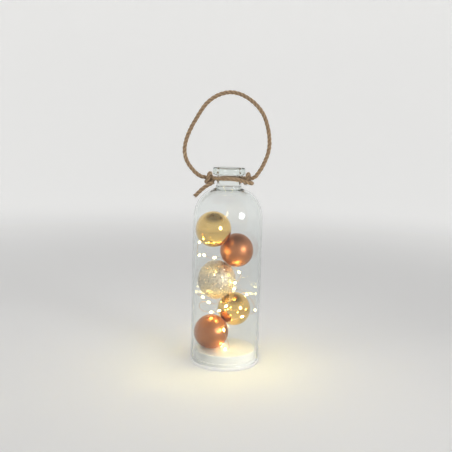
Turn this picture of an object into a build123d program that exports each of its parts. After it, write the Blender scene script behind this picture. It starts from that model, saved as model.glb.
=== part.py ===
"""Glass bottle light: baubles and small lights in a bottle on a white battery base, with a rope handle."""
import math
import os

from build123d import *

os.makedirs("parts", exist_ok=True)

# Driving dimensions, in millimetres and degrees

# Bottle
bottle_radius = 50.0
glass_wall = 3.0
head_room = 16.75
shoulder_reach = 35.0
shoulder_rise = 43.0
neck_radius = 18.0
neck_height = 19.0
neck_round = 5.0
lip_overhang = 5.3
lip_height = 11.0
lip_round = 3.2
glass_edge_round = 1.0

# Base shell
flange_height = 4.5
flange_round = 0.8
plug_gap = 2.5
plug_round = 1.5
shell = 2.2
bead_height = 4.0
bond_gap = 0.05
ledge_width = 3.2
plate_thick = 2.4
plate_lift = 0.8
fit_gap = 0.2
lead_room = 2.3

# Screws and their bosses
screw_count = 3
screw_angle = 90.0
boss_radius = 3.0
boss_inset = 0.8
screw_radius = 1.1
screw_reach = 7.0
thread_gap = 0.03
head_radius = 2.3
head_height = 1.4
drive_width = 0.6
drive_depth = 0.7

# Cells and contacts
cell_count = 3
cell_radius = 5.25
cell_length = 43.5
nub_radius = 1.9
nub_height = 1.0
cell_gap = 0.6
cell_clearance = 0.3
contact_thick = 0.4
contact_width = 8.0
contact_height = 9.0
tab_width = 2.4
tab_rise = 1.5
spring_room = 5.2
spring_radius = 2.6
spring_wire_radius = 0.3
spring_turns = 3

# Battery bay and door
bay_wall = 1.6
bay_roof = 1.2
bay_y = -2.0
bay_side_gap = 0.8
pin_radius = 0.7
pin_length = 1.3
pin_gap = 0.05
tongue_length = 3.0
tongue_width = 9.0
tongue_thick = 1.1
grip_count = 3
grip_width = 0.8
grip_pitch = 1.8
grip_depth = 0.5

# Board and switch
board_length = 24.0
board_width = 13.0
board_thick = 1.2
board_gap = 1.9
post_radius = 1.5
post_inset = 2.4
chip_size = (5.0, 4.0, 1.5)
chip_place = (3.0, -3.6)
resistor_radius = 0.9
resistor_length = 4.6
resistor_place = (4.0, 3.8)
switch_length = 8.6
switch_width = 4.4
switch_height = 4.2
switch_place = (5.0, 0.6)
knob_length = 3.0
knob_width = 2.0
knob_proud = 0.5
knob_reach = 1.8
knob_gap = 0.15
knob_travel = 2.0
lead_radius = 0.6
lead_height = 0.9
lead_clearance = 0.5

# Light string
wire_exit = (-5.0, 24.0)
wire_radius = 0.4
wire_gap = 0.1
wire_rise = 5.0
bush_radius = 1.8
bush_collar_radius = 3.0
bush_collar_height = 0.8
drop_length = 5.0
drop_radius = 1.6
led_size = (1.5, 0.8, 0.5)
led_gap = 0.02

# Baubles: name, radius, where round the bottle it leans, then the cap's bearing and tilt
bauble_wall = 0.8
bauble_gap = 0.3
bauble_neck_radius = 3.6
bauble_neck_height = 1.8
cap_radius = 4.7
cap_wall = 0.5
cap_gap = 0.1
loop_radius = 2.2
loop_wire_radius = 0.45
loop_leg = 1.6
baubles = [
    ("bauble_copper_low", 25.0, -160.0, 90.0, 10.0),
    ("bauble_gold_low", 25.0, 54.0, 140.0, -40.0),
    ("bauble_glitter", 28.0, 142.0, 70.0, 40.0),
    ("bauble_copper_high", 25.0, 48.0, 130.0, 40.0),
    ("bauble_gold_high", 26.0, -176.0, 70.0, 20.0),
]

# Rope
rope_radius = 3.0
rope_gap = 0.3
rope_drop = 4.5
hitch_pitch = 7.0
hitch_lip_gap = 1.2
core_setback = 2.5
bend_share = 0.45

# Heights and radii that follow from the driving dimensions
plate_top = plate_lift + plate_thick
cell_z = plate_top + cell_clearance + cell_radius
bay_inner_top = cell_z + cell_radius + cell_clearance
bay_top = bay_inner_top + bay_roof
plug_inner_top = bay_top + lead_room
plug_top = plug_inner_top + shell
inner_radius = bottle_radius - glass_wall
plug_radius = inner_radius - plug_gap
cavity_radius = plug_radius - shell
plate_radius = cavity_radius + ledge_width
recess_radius = plate_radius + fit_gap
boss_ring = cavity_radius - boss_inset - boss_radius

bay_length = cell_length + nub_height + spring_room + 2 * contact_thick
bay_width = cell_count * 2 * cell_radius + (cell_count - 1) * cell_gap + 2 * bay_side_gap
bay_back = bay_y + bay_width / 2 + bay_wall
board_y = bay_back + board_gap + board_width / 2
board_z = plate_top + switch_height
board_top = board_z + board_thick


def finish(piece, name):
    """Labels a finished piece and writes it to its own file."""
    piece.part.label = name
    export_step(piece.part, f"parts/{name}.step")


def corners(sketch, *spots):
    """Picks the vertices of a sketch that lie nearest to the given spots."""
    found = sketch.vertices()
    return [min(found, key=lambda v: math.hypot(v.X - x, v.Y - y)) for x, y in spots]


def cord_radii(points, straights=None):
    """Bend radius at each inner point of a route: as large as the two runs beside it allow.

    straights holds the length to keep straight in the middle of each run, where any is kept.
    """
    places = [Vector(p) for p in points]
    runs = [after - here for here, after in zip(places, places[1:])]
    kept = straights or [0.0] * len(runs)
    rooms = [min(bend_share * run.length, (run.length - length) / 2) for run, length in zip(runs, kept)]
    radii = []
    for number in range(1, len(runs)):
        half_turn = math.radians(runs[number - 1].get_angle(runs[number])) / 2
        radii.append(min(rooms[number - 1], rooms[number]) / math.tan(half_turn))
    return radii


def biarc(start, leave, end, arrive):
    """Draws two tangent arcs from start, leaving along one heading, to end, arriving along another."""
    first, last = Vector(start), Vector(end)
    out, home = Vector(leave).normalized(), Vector(arrive).normalized()
    span = last - first
    along = span.dot(out + home)
    spread = 2 * (1 - out.dot(home))
    if spread < 1e-9:
        reach = span.dot(span) / (2 * along)
    else:
        reach = (math.sqrt(along**2 + spread * span.dot(span)) - along) / spread
    middle = (first + last + (out - home) * reach) * 0.5
    opening = TangentArc(first, middle, tangent=out)
    TangentArc(middle, last, tangent=opening % 1)


def biarc_chain(stations):
    """Draws biarcs from each station, a place and a heading, to the next."""
    for (place, heading), (next_place, next_heading) in zip(stations, stations[1:]):
        biarc(place, heading, next_place, next_heading)


def least_self_gap(line, radius, samples=400):
    """Least gap between two stretches of one tube that lie more than two diameters apart along it."""
    spots = [line @ (i / samples) for i in range(samples + 1)]
    skip = math.ceil(4.5 * radius * samples / line.length)
    pairs = ((a, b) for i, a in enumerate(spots) for b in spots[i + skip:])
    return min((a - b).length for a, b in pairs) - 2 * radius


def report_tube(name, tube, line, radius):
    """Prints a tube's length and how its volume compares with its section times its length."""
    ratio = tube.part.volume / (math.pi * radius**2 * line.length)
    print(f"{name}: length {line.length:.0f} mm, volume {ratio:.4f} of section times length")


def bauble_places():
    """Centres of the baubles: each leans on the glass, and rests on the base or on those below it."""
    centres = []
    for name, radius, bearing, cap_bearing, cap_tilt in baubles:
        lean = inner_radius - radius - bauble_gap
        x = lean * math.cos(math.radians(bearing))
        y = lean * math.sin(math.radians(bearing))
        z = plug_top + radius + bauble_gap
        for below, lower in zip(centres, baubles):
            reach = radius + lower[1] + bauble_gap
            across = math.hypot(x - below.X, y - below.Y)
            if across < reach:
                z = max(z, below.Z + math.sqrt(reach**2 - across**2))
        centres.append(Vector(x, y, z))
    return centres


# Heights and radii of the glass: its straight wall ends a little above the middle of the highest bauble
bauble_centres = bauble_places()
foot_z = flange_height
shoulder_z = max(centre.Z for centre in bauble_centres) + head_room
shoulder_centre = bottle_radius - shoulder_reach
lip_z = shoulder_z + shoulder_rise + neck_height
top_z = lip_z + lip_height
lip_radius = neck_radius + lip_overhang
bore_radius = neck_radius - glass_wall

# Glass bottle: one turned wall with an elliptical shoulder, a neck and a rolled lip
outer_end = math.degrees(math.acos((neck_radius - shoulder_centre) / shoulder_reach))
inner_end = math.degrees(math.acos((bore_radius - shoulder_centre) / (shoulder_reach - glass_wall)))
with BuildPart() as glass_bottle:
    with BuildSketch(Plane.XZ) as bottle_section:
        with BuildLine():
            outer_shoulder = EllipticalCenterArc(
                (shoulder_centre, shoulder_z), shoulder_reach, shoulder_rise, arc_size=outer_end
            )
            inner_shoulder = EllipticalCenterArc(
                (shoulder_centre, shoulder_z),
                shoulder_reach - glass_wall,
                shoulder_rise - glass_wall,
                arc_size=inner_end,
            )
            Polyline(
                inner_shoulder @ 0, (inner_radius, foot_z), (bottle_radius, foot_z), outer_shoulder @ 0
            )
            Polyline(
                outer_shoulder @ 1,
                (neck_radius, lip_z),
                (lip_radius, lip_z),
                (lip_radius, top_z),
                (bore_radius, top_z),
                inner_shoulder @ 1,
            )
        make_face()
        neck_spots = [(end.X, end.Y) for end in (outer_shoulder @ 1, inner_shoulder @ 1)]
        fillet(corners(bottle_section, *neck_spots), neck_round)
        lip_spots = [(lip_radius, lip_z), (lip_radius, top_z)]
        fillet(corners(bottle_section, *lip_spots), min(lip_round, lip_height * 0.45))
        edge_spots = [(bore_radius, top_z), (inner_radius, foot_z), (bottle_radius, foot_z)]
        fillet(corners(bottle_section, *edge_spots), min(glass_edge_round, glass_wall * 0.45))
    revolve(axis=Axis.Z)
finish(glass_bottle, "glass_bottle")

# Clear adhesive bead that holds the glass to the plug
with BuildPart() as glue_bead:
    with BuildSketch(Plane.XY.offset(flange_height)):
        Circle(inner_radius - bond_gap)
        Circle(plug_radius + bond_gap, mode=Mode.SUBTRACT)
    extrude(amount=bead_height)
finish(glue_bead, "glue_bead")

# White base: a flange under the glass and a hollow plug inside it
with BuildPart() as base_housing:
    with BuildSketch(Plane.XZ) as housing_section:
        with BuildLine():
            Polyline(
                (recess_radius, 0),
                (bottle_radius, 0),
                (bottle_radius, flange_height),
                (plug_radius, flange_height),
                (plug_radius, plug_top),
                (0, plug_top),
                (0, plug_inner_top),
                (cavity_radius, plug_inner_top),
                (cavity_radius, plate_top),
                (recess_radius, plate_top),
                close=True,
            )
        make_face()
        fillet(corners(housing_section, (plug_radius, plug_top)), min(plug_round, shell * 0.9))
        fillet(corners(housing_section, (bottle_radius, 0), (bottle_radius, flange_height)), flange_round)
    revolve(axis=Axis.Z)
    with BuildSketch(Plane.XY.offset(plate_top)):
        with PolarLocations(boss_ring, screw_count, screw_angle):
            Circle(boss_radius)
    extrude(amount=plug_inner_top - plate_top)
    with BuildSketch(Plane.XY.offset(plate_top)):
        with PolarLocations(boss_ring, screw_count, screw_angle):
            Circle(screw_radius + thread_gap)
    extrude(amount=screw_reach + fit_gap, mode=Mode.SUBTRACT)
    with BuildSketch(Plane.XY.offset(plug_inner_top)):
        with Locations(wire_exit):
            Circle(bush_radius + bond_gap)
    extrude(amount=shell, mode=Mode.SUBTRACT)
finish(base_housing, "base_housing")

# Bottom plate with the battery bay, the board's posts and the openings for door, switch and screws
door_gap = fit_gap
hinge_radius = plate_thick / 2
pivot_x = -bay_length / 2 + door_gap + hinge_radius
pivot_z = plate_lift + hinge_radius
hinge_plane = Plane(origin=(pivot_x, bay_y, pivot_z), x_dir=(1, 0, 0), z_dir=(0, -1, 0))
cell_rows = [bay_y + (k - (cell_count - 1) / 2) * (2 * cell_radius + cell_gap) for k in range(cell_count)]
cell_rows.reverse()
cell_ends = [1 if k % 2 == 0 else -1 for k in range(cell_count)]
contact_x = bay_length / 2 - contact_thick / 2
tab_spots = [(cell_ends[0] * contact_x, cell_rows[0]), (-cell_ends[-1] * contact_x, cell_rows[-1])]
switch_x, switch_y = switch_place[0], board_y + switch_place[1]
post_x = -board_length / 2 + post_inset
post_spots = [(post_x, board_y + side * (board_width / 2 - post_inset)) for side in (-1, 1)]

with BuildPart() as bottom_plate:
    with BuildSketch(Plane.XY.offset(plate_lift)):
        Circle(plate_radius)
    extrude(amount=plate_thick)
    with BuildSketch(Plane.XY.offset(plate_top)):
        with Locations((0, bay_y)):
            Rectangle(bay_length + 2 * bay_wall, bay_width + 2 * bay_wall)
        with Locations(*post_spots):
            Circle(post_radius)
    extrude(amount=switch_height)
    with BuildSketch(Plane.XY.offset(plate_top)):
        with Locations((0, bay_y)):
            Rectangle(bay_length + 2 * bay_wall, bay_width + 2 * bay_wall)
    extrude(amount=bay_top - plate_top)
    with BuildSketch(Plane.XY.offset(plate_lift)):
        with Locations((0, bay_y)):
            Rectangle(bay_length, bay_width)
    extrude(amount=bay_inner_top - plate_lift, mode=Mode.SUBTRACT)
    with BuildSketch(Plane.XY.offset(plate_lift)):
        with Locations((bay_length / 2 + tongue_length / 2, bay_y)):
            Rectangle(tongue_length + 2 * door_gap, tongue_width + 2 * door_gap)
    extrude(amount=tongue_thick + door_gap, mode=Mode.SUBTRACT)
    with BuildSketch(hinge_plane):
        Circle(pin_radius + pin_gap)
    extrude(amount=bay_width / 2 + pin_length, both=True, mode=Mode.SUBTRACT)
    with BuildSketch(Plane.XY.offset(bay_inner_top)):
        with Locations(*tab_spots):
            Rectangle(contact_thick + 2 * bond_gap, tab_width + 2 * bond_gap)
    extrude(amount=bay_roof, mode=Mode.SUBTRACT)
    with BuildSketch(Plane.XY.offset(plate_lift)):
        with Locations((switch_x, switch_y)):
            Rectangle(knob_length + knob_travel + 4 * knob_gap, knob_width + 4 * knob_gap)
        with PolarLocations(boss_ring, screw_count, screw_angle):
            Circle(screw_radius + fit_gap)
    extrude(amount=plate_thick, mode=Mode.SUBTRACT)
    with BuildSketch(Plane.XY.offset(plate_lift)):
        with PolarLocations(boss_ring, screw_count, screw_angle):
            Circle(head_radius + fit_gap)
    extrude(amount=head_height, mode=Mode.SUBTRACT)
finish(bottom_plate, "bottom_plate")

# Battery door: a plate with a round hinge edge, two pins and a latch tongue
door_width = bay_width - 2 * door_gap
door_run = bay_length / 2 - door_gap - pivot_x
tongue_run = tongue_length + 2 * door_gap
with BuildPart() as battery_door:
    with BuildSketch(hinge_plane):
        Circle(hinge_radius)
        with Locations((door_run / 2, 0)):
            Rectangle(door_run, plate_thick)
    extrude(amount=door_width / 2, both=True)
    with BuildSketch(hinge_plane):
        Circle(pin_radius)
    extrude(amount=bay_width / 2 + pin_length - door_gap, both=True)
    with BuildSketch(Plane.XY.offset(plate_lift)):
        with Locations((pivot_x + door_run + tongue_run / 2 - door_gap, bay_y)):
            Rectangle(tongue_run, tongue_width)
    extrude(amount=tongue_thick)
    with BuildSketch(Plane.XY.offset(plate_lift)):
        with Locations((pivot_x + door_run - grip_count * grip_pitch - tongue_length, bay_y)):
            with GridLocations(grip_pitch, 1, grip_count, 1):
                Rectangle(grip_width, tongue_width)
    extrude(amount=grip_depth, mode=Mode.SUBTRACT)
finish(battery_door, "battery_door")

# Screws that hold the plate to the housing's bosses
with BuildPart() as base_screws:
    with BuildSketch(Plane.XY.offset(plate_lift)):
        with PolarLocations(boss_ring, screw_count, screw_angle):
            Circle(head_radius)
    extrude(amount=head_height)
    with BuildSketch(Plane.XY.offset(plate_lift)):
        with PolarLocations(boss_ring, screw_count, screw_angle):
            Circle(screw_radius)
    extrude(amount=plate_thick + screw_reach)
    with BuildSketch(Plane.XY.offset(plate_lift)):
        with PolarLocations(boss_ring, screw_count, screw_angle):
            Rectangle(2 * head_radius * 0.7, drive_width)
            Rectangle(drive_width, 2 * head_radius * 0.7)
    extrude(amount=drive_depth, mode=Mode.SUBTRACT)
finish(base_screws, "base_screws")

# Cells, side by side and turned end for end
for number, (row, end) in enumerate(zip(cell_rows, cell_ends), start=1):
    nub_face_x = end * (bay_length / 2 - contact_thick)
    nub_plane = Plane(origin=(nub_face_x, row, cell_z), z_dir=(-end, 0, 0))
    with BuildPart() as cell:
        with BuildSketch(nub_plane):
            Circle(nub_radius)
        extrude(amount=nub_height)
        with BuildSketch(nub_plane.offset(nub_height)):
            Circle(cell_radius)
        extrude(amount=cell_length)
        fillet(cell.edges().filter_by(GeomType.CIRCLE).group_by(SortBy.RADIUS)[-1], nub_height * 0.5)
    finish(cell, f"aaa_cell_{number}")

# Contact plates at both ends of the bay: two single ones with a tab through the roof, and the bridges
bridges = []
for k in range(cell_count - 1):
    bridges.append((-cell_ends[k] * contact_x, (cell_rows[k] + cell_rows[k + 1]) / 2))
bridge_width = 2 * cell_radius + cell_gap + contact_width
with BuildPart() as contact_plates:
    with BuildSketch(Plane.XY.offset(cell_z - contact_height / 2)):
        with Locations(*tab_spots):
            Rectangle(contact_thick, contact_width)
        with Locations(*bridges):
            Rectangle(contact_thick, bridge_width)
    extrude(amount=contact_height)
    with BuildSketch(Plane.XY.offset(cell_z)):
        with Locations(*tab_spots):
            Rectangle(contact_thick, tab_width)
    extrude(amount=bay_top + tab_rise - cell_z)
finish(contact_plates, "contact_plates")


def spring_stations(row, end):
    """Quarter-turn stations of one contact spring, from its plate to the flat end of its cell."""
    plate_x = -end * (bay_length / 2 - contact_thick)
    climb = (spring_room - 2 * spring_wire_radius) / spring_turns
    stations = []
    for quarter in range(4 * spring_turns + 1):
        angle = math.radians(90 * quarter)
        x = plate_x + end * (spring_wire_radius + climb * quarter / 4)
        place = (x, row + spring_radius * math.cos(angle), cell_z + spring_radius * math.sin(angle))
        slope = end * climb / (2 * math.pi)
        stations.append((place, (slope, -spring_radius * math.sin(angle), spring_radius * math.cos(angle))))
    return stations


# Contact springs, one at the flat end of each cell
with BuildPart() as contact_springs:
    for row, end in zip(cell_rows, cell_ends):
        with BuildLine() as spring_path:
            biarc_chain(spring_stations(row, end))
        with BuildSketch(Plane(origin=spring_path.wire() @ 0, z_dir=spring_path.wire() % 0)):
            Circle(spring_wire_radius)
        sweep()
print(f"contact_springs: least gap to itself {least_self_gap(spring_path.wire(), spring_wire_radius):.2f} mm")
finish(contact_springs, "contact_springs")

# Circuit board, its driver chip and resistor
with BuildPart() as circuit_board:
    with BuildSketch(Plane.XY.offset(board_z)):
        with Locations((0, board_y)):
            Rectangle(board_length, board_width)
    extrude(amount=board_thick)
finish(circuit_board, "circuit_board")

with BuildPart() as driver_chip:
    with BuildSketch(Plane.XY.offset(board_top)):
        with Locations((chip_place[0], board_y + chip_place[1])):
            Rectangle(chip_size[0], chip_size[1])
    extrude(amount=chip_size[2])
finish(driver_chip, "driver_chip")

resistor_plane = Plane(
    origin=(resistor_place[0], board_y + resistor_place[1], board_top + resistor_radius), z_dir=(1, 0, 0)
)
with BuildPart() as resistor:
    with BuildSketch(resistor_plane):
        Circle(resistor_radius)
    extrude(amount=resistor_length / 2, both=True)
finish(resistor, "resistor")

# Slide switch: a body under the board and a knob that shows through the bottom plate
with BuildPart() as switch_body:
    with BuildSketch(Plane.XY.offset(plate_top)):
        with Locations((switch_x, switch_y)):
            Rectangle(switch_length, switch_width)
    extrude(amount=switch_height)
    with BuildSketch(Plane.XY.offset(plate_top)):
        with Locations((switch_x, switch_y)):
            Rectangle(knob_length + knob_travel + 2 * knob_gap, knob_width + 2 * knob_gap)
    extrude(amount=knob_reach + knob_gap, mode=Mode.SUBTRACT)
finish(switch_body, "switch_body")

with BuildPart() as switch_knob:
    with BuildSketch(Plane.XY.offset(plate_lift - knob_proud)):
        with Locations((switch_x + knob_travel / 2, switch_y)):
            Rectangle(knob_length, knob_width)
    extrude(amount=knob_proud + plate_thick + knob_reach)
finish(switch_knob, "switch_knob")

# Leads from the two single contacts over the bay's roof to the board
lead_z = bay_top + lead_height
lead_end_y = board_y - board_width / 2 + post_inset
roof_z = plug_inner_top - lead_radius - lead_clearance
lead_routes = {
    "lead_red": [
        (tab_spots[0][0] - contact_thick / 2, cell_rows[0], lead_z),
        (19.5, cell_rows[0], lead_z),
        (14.0, bay_back + 0.8, roof_z),
        (10.0, lead_end_y, board_top + 4.9),
        (10.0, lead_end_y, board_top),
    ],
    "lead_black": [
        (tab_spots[1][0] + contact_thick / 2, cell_rows[-1], lead_z),
        (-19.0, cell_rows[-1], lead_z),
        (-13.0, bay_y - 1.5, lead_z + 0.05),
        (-9.6, bay_y + 9.0, lead_z),
        (-8.8, bay_back + 1.4, roof_z),
        (-8.0, lead_end_y + 1.2, board_top + 4.9),
        (-8.0, lead_end_y + 1.2, board_top),
    ],
}
for name, route in lead_routes.items():
    with BuildPart() as lead:
        with BuildLine() as lead_path:
            FilletPolyline(*route, radius=cord_radii(route))
        with BuildSketch(Plane(origin=lead_path.wire() @ 0, z_dir=lead_path.wire() % 0)):
            Circle(lead_radius)
        sweep()
    print(f"{name}: bend radii", [round(r, 1) for r in cord_radii(route)])
    report_tube(name, lead, lead_path.wire(), lead_radius)
    finish(lead, name)

# Bush in the plug's top and the feed lead that comes up to it from the board
with BuildPart() as wire_bush:
    with BuildSketch(Plane.XY.offset(plug_inner_top)):
        with Locations(wire_exit):
            Circle(bush_radius)
    extrude(amount=shell)
    with BuildSketch(Plane.XY.offset(plug_top)):
        with Locations(wire_exit):
            Circle(bush_collar_radius)
    extrude(amount=bush_collar_height)
    fillet(wire_bush.faces().sort_by(Axis.Z)[-1].edges(), bush_collar_height * 0.6)
    with BuildSketch(Plane.XY.offset(plug_inner_top)):
        with Locations(wire_exit):
            Circle(wire_radius + wire_gap)
    extrude(amount=shell + bush_collar_height, mode=Mode.SUBTRACT)
finish(wire_bush, "wire_bush")

with BuildPart() as feed_lead:
    with BuildSketch(Plane.XY.offset(board_top)):
        with Locations(wire_exit):
            Circle(wire_radius)
    extrude(amount=plug_inner_top - board_top)
finish(feed_lead, "feed_lead")

# Light wire: from the bush, up among the baubles; a light sits in the middle of each lit run
# Stops: across, deep, height above the plug's top, and whether the run that starts there is lit
LIT, PLAIN = True, False
light_stops = [
    (-5.0, 20.0, 11.0, PLAIN),
    (-4.5, 13.5, 10.5, PLAIN),
    (-4.0, 9.0, 4.5, LIT),
    (-3.5, 0.5, 2.0, PLAIN),
    (-2.0, -8.0, 1.9, LIT),
    (4.0, -24.0, 2.3, PLAIN),
    (7.0, -33.0, 9.5, PLAIN),
    (4.0, -34.5, 21.0, PLAIN),
    (-1.0, -31.0, 30.0, LIT),
    (-2.5, -26.0, 39.0, PLAIN),
    (5.0, -24.5, 46.5, PLAIN),
    (17.5, -23.0, 50.0, LIT),
    (30.5, -17.0, 54.5, PLAIN),
    (39.0, -12.0, 55.0, PLAIN),
    (43.2, -5.5, 55.5, LIT),
    (44.5, 4.0, 58.5, PLAIN),
    (42.5, 14.0, 64.0, PLAIN),
    (36.0, 25.0, 70.5, LIT),
    (28.0, 35.0, 75.0, PLAIN),
    (18.0, 41.0, 77.5, LIT),
    (6.0, 44.0, 78.0, PLAIN),
    (-6.0, 44.0, 77.0, LIT),
    (-18.0, 41.0, 75.5, PLAIN),
    (-29.0, 34.0, 74.0, LIT),
    (-38.0, 24.0, 73.5, PLAIN),
    (-43.0, 12.0, 75.0, PLAIN),
    (-43.5, 1.0, 78.0, PLAIN),
    (-37.5, -9.0, 79.0, LIT),
    (-29.0, -15.0, 76.2, PLAIN),
    (-20.5, -18.0, 78.0, PLAIN),
    (-13.5, -17.5, 77.0, PLAIN),
    (-10.0, -16.0, 72.5, PLAIN),
    (-13.0, -14.5, 68.0, PLAIN),
    (-19.0, -14.0, 69.0, LIT),
    (-30.5, -14.0, 72.5, PLAIN),
    (-37.0, -13.0, 70.0, PLAIN),
    (-39.0, -11.0, 63.5, PLAIN),
    (-34.5, -10.5, 57.5, PLAIN),
    (-26.5, -12.0, 55.5, LIT),
    (-15.0, -15.5, 56.5, LIT),
    (-3.5, -20.5, 63.0, LIT),
    (4.5, -18.5, 71.0, PLAIN),
    (6.0, -17.5, 80.5, PLAIN),
    (4.5, -16.5, 89.0, PLAIN),
    (7.5, -12.0, 96.5, LIT),
    (17.5, -3.0, 101.5, PLAIN),
    (22.5, -2.5, 109.5, LIT),
    (13.5, -9.5, 119.5, PLAIN),
    (3.0, -12.0, 126.0, PLAIN),
    (-6.0, -15.0, 135.0, PLAIN),
    (-12.0, -19.5, 139.5, LIT),
    (-23.0, -24.5, 137.0, PLAIN),
    (-28.5, -21.5, 140.0, LIT),
    (-36.0, -15.0, 142.0, LIT),
    (-43.0, -6.0, 136.5, PLAIN),
    (-44.0, 3.0, 140.0, PLAIN),
    (-43.5, 1.5, 149.0, PLAIN),
    (-42.3, -6.5, 153.5, PLAIN),
    (-40.0, -16.5, 156.5, LIT),
    (-37.2, -24.6, 163.3, PLAIN),
]
light_route = [(*wire_exit, plug_inner_top), (*wire_exit, plug_top + wire_rise)]
light_route += [(across, deep, plug_top + height) for across, deep, height, lit in light_stops]
lit_runs = [PLAIN, PLAIN] + [lit for across, deep, height, lit in light_stops[:-1]]
light_radii = cord_radii(light_route, [drop_length * lit for lit in lit_runs])
with BuildPart() as light_wire:
    with BuildLine() as light_path:
        FilletPolyline(*light_route, radius=light_radii)
    with BuildSketch(Plane(origin=light_path.wire() @ 0, z_dir=light_path.wire() % 0)):
        Circle(wire_radius)
    sweep()
print("light_wire: bend radii", [round(r, 1) for r in light_radii])
report_tube("light_wire", light_wire, light_path.wire(), wire_radius)
finish(light_wire, "light_wire")

# Planes of the lights: x along the wire, z away from it, on the side that the chip lies
light_planes = []
for lit, before, after in zip(lit_runs, light_route, light_route[1:]):
    if lit:
        here, there = Vector(before), Vector(after)
        heading = (there - here).normalized()
        outward = heading.cross(Vector(0, 0, 1)).cross(heading)
        light_planes.append(Plane(origin=(here + there) * 0.5, x_dir=heading, z_dir=outward))

# Clear drops moulded round the wire, each with room for its chip
led_lift = wire_radius + wire_gap + led_size[2] / 2 + led_gap
with BuildPart() as led_drops:
    for plane in light_planes:
        with BuildSketch(plane):
            with BuildLine():
                crown = ThreePointArc(
                    (-drop_length / 2, wire_radius + wire_gap),
                    (0, drop_radius),
                    (drop_length / 2, wire_radius + wire_gap),
                )
                Line(crown @ 1, crown @ 0)
            make_face()
        revolve(axis=Axis(plane.origin, plane.x_dir))
        with BuildSketch(plane.offset(led_lift - led_size[2] / 2 - led_gap)):
            Rectangle(led_size[0] + 2 * led_gap, led_size[1] + 2 * led_gap)
        extrude(amount=led_size[2] + 2 * led_gap, mode=Mode.SUBTRACT)
finish(led_drops, "led_drops")

with BuildPart() as led_chips:
    for plane in light_planes:
        with BuildSketch(plane.offset(led_lift - led_size[2] / 2)):
            Rectangle(led_size[0], led_size[1])
        extrude(amount=led_size[2])
finish(led_chips, "led_chips")


def section_plane(centre, cap_bearing, cap_tilt):
    """Plane through a bauble's centre whose y axis points at the middle of its cap."""
    bearing, tilt = math.radians(cap_bearing), math.radians(cap_tilt)
    aim = Vector(
        math.cos(tilt) * math.cos(bearing), math.cos(tilt) * math.sin(bearing), math.sin(tilt)
    )
    side = aim.cross(Vector(0, 0, 1)).normalized()
    return Plane(origin=centre, x_dir=side, z_dir=side.cross(aim))


def height_on(radius, reach):
    """Height above a sphere's centre of the circle on it that has the given reach."""
    return math.sqrt(radius**2 - reach**2)


bauble_planes = []
for centre, (name, radius, bearing, cap_bearing, cap_tilt) in zip(bauble_centres, baubles):
    bauble_planes.append((section_plane(centre, cap_bearing, cap_tilt), name, radius))

# Bauble shells, each blown with a short neck for its cap
for plane, name, radius in bauble_planes:
    inner = radius - bauble_wall
    neck_inner = bauble_neck_radius - bauble_wall
    neck_top = radius + bauble_neck_height
    with BuildPart() as bauble:
        with BuildSketch(plane):
            with BuildLine():
                skin = ThreePointArc(
                    (0, -radius), (radius, 0), (bauble_neck_radius, height_on(radius, bauble_neck_radius))
                )
                lining = ThreePointArc(
                    (neck_inner, height_on(inner, neck_inner)), (inner, 0), (0, -inner)
                )
                Polyline(skin @ 1, (bauble_neck_radius, neck_top), (neck_inner, neck_top), lining @ 0)
                Line(lining @ 1, skin @ 0)
            make_face()
        revolve(axis=Axis(plane.origin, plane.y_dir))
    finish(bauble, name)

# Metal caps over the necks
cap_bore = bauble_neck_radius + cap_gap
with BuildPart() as bauble_caps:
    for plane, name, radius in bauble_planes:
        skirt = height_on(radius, cap_bore) + cap_gap
        crown_inner = radius + bauble_neck_height + cap_gap
        with BuildSketch(plane):
            with BuildLine():
                Polyline(
                    (cap_bore, skirt),
                    (cap_radius, skirt),
                    (cap_radius - cap_wall, crown_inner + cap_wall),
                    (0, crown_inner + cap_wall),
                    (0, crown_inner),
                    (cap_bore, crown_inner),
                    close=True,
                )
            make_face()
        revolve(axis=Axis(plane.origin, plane.y_dir))
finish(bauble_caps, "bauble_caps")

# Wire loops that stand on the caps
with BuildPart() as bauble_loops:
    for plane, name, radius in bauble_planes:
        loop_foot = radius + bauble_neck_height + cap_gap + cap_wall
        with BuildLine(plane) as loop_path:
            Line((-loop_radius, loop_foot), (-loop_radius, loop_foot + loop_leg))
            ThreePointArc(
                (-loop_radius, loop_foot + loop_leg),
                (0, loop_foot + loop_leg + loop_radius),
                (loop_radius, loop_foot + loop_leg),
            )
            Line((loop_radius, loop_foot + loop_leg), (loop_radius, loop_foot))
        with BuildSketch(Plane(origin=loop_path.wire() @ 0, z_dir=loop_path.wire() % 0)):
            Circle(loop_wire_radius)
        sweep()
finish(bauble_loops, "bauble_loops")

# Rope: two turns round the neck, each running from one leg of the handle to a hitch round the other leg
eye_z = lip_z - rope_drop
ring_radius = neck_radius + rope_radius + rope_gap
hitch_radius = 2 * rope_radius + rope_gap
hitch_start = lip_radius + rope_radius + hitch_pitch / 2 + hitch_lip_gap
core_end = hitch_start - core_setback
ring_bearings = (33.0, 75.0, 112.0)


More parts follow.
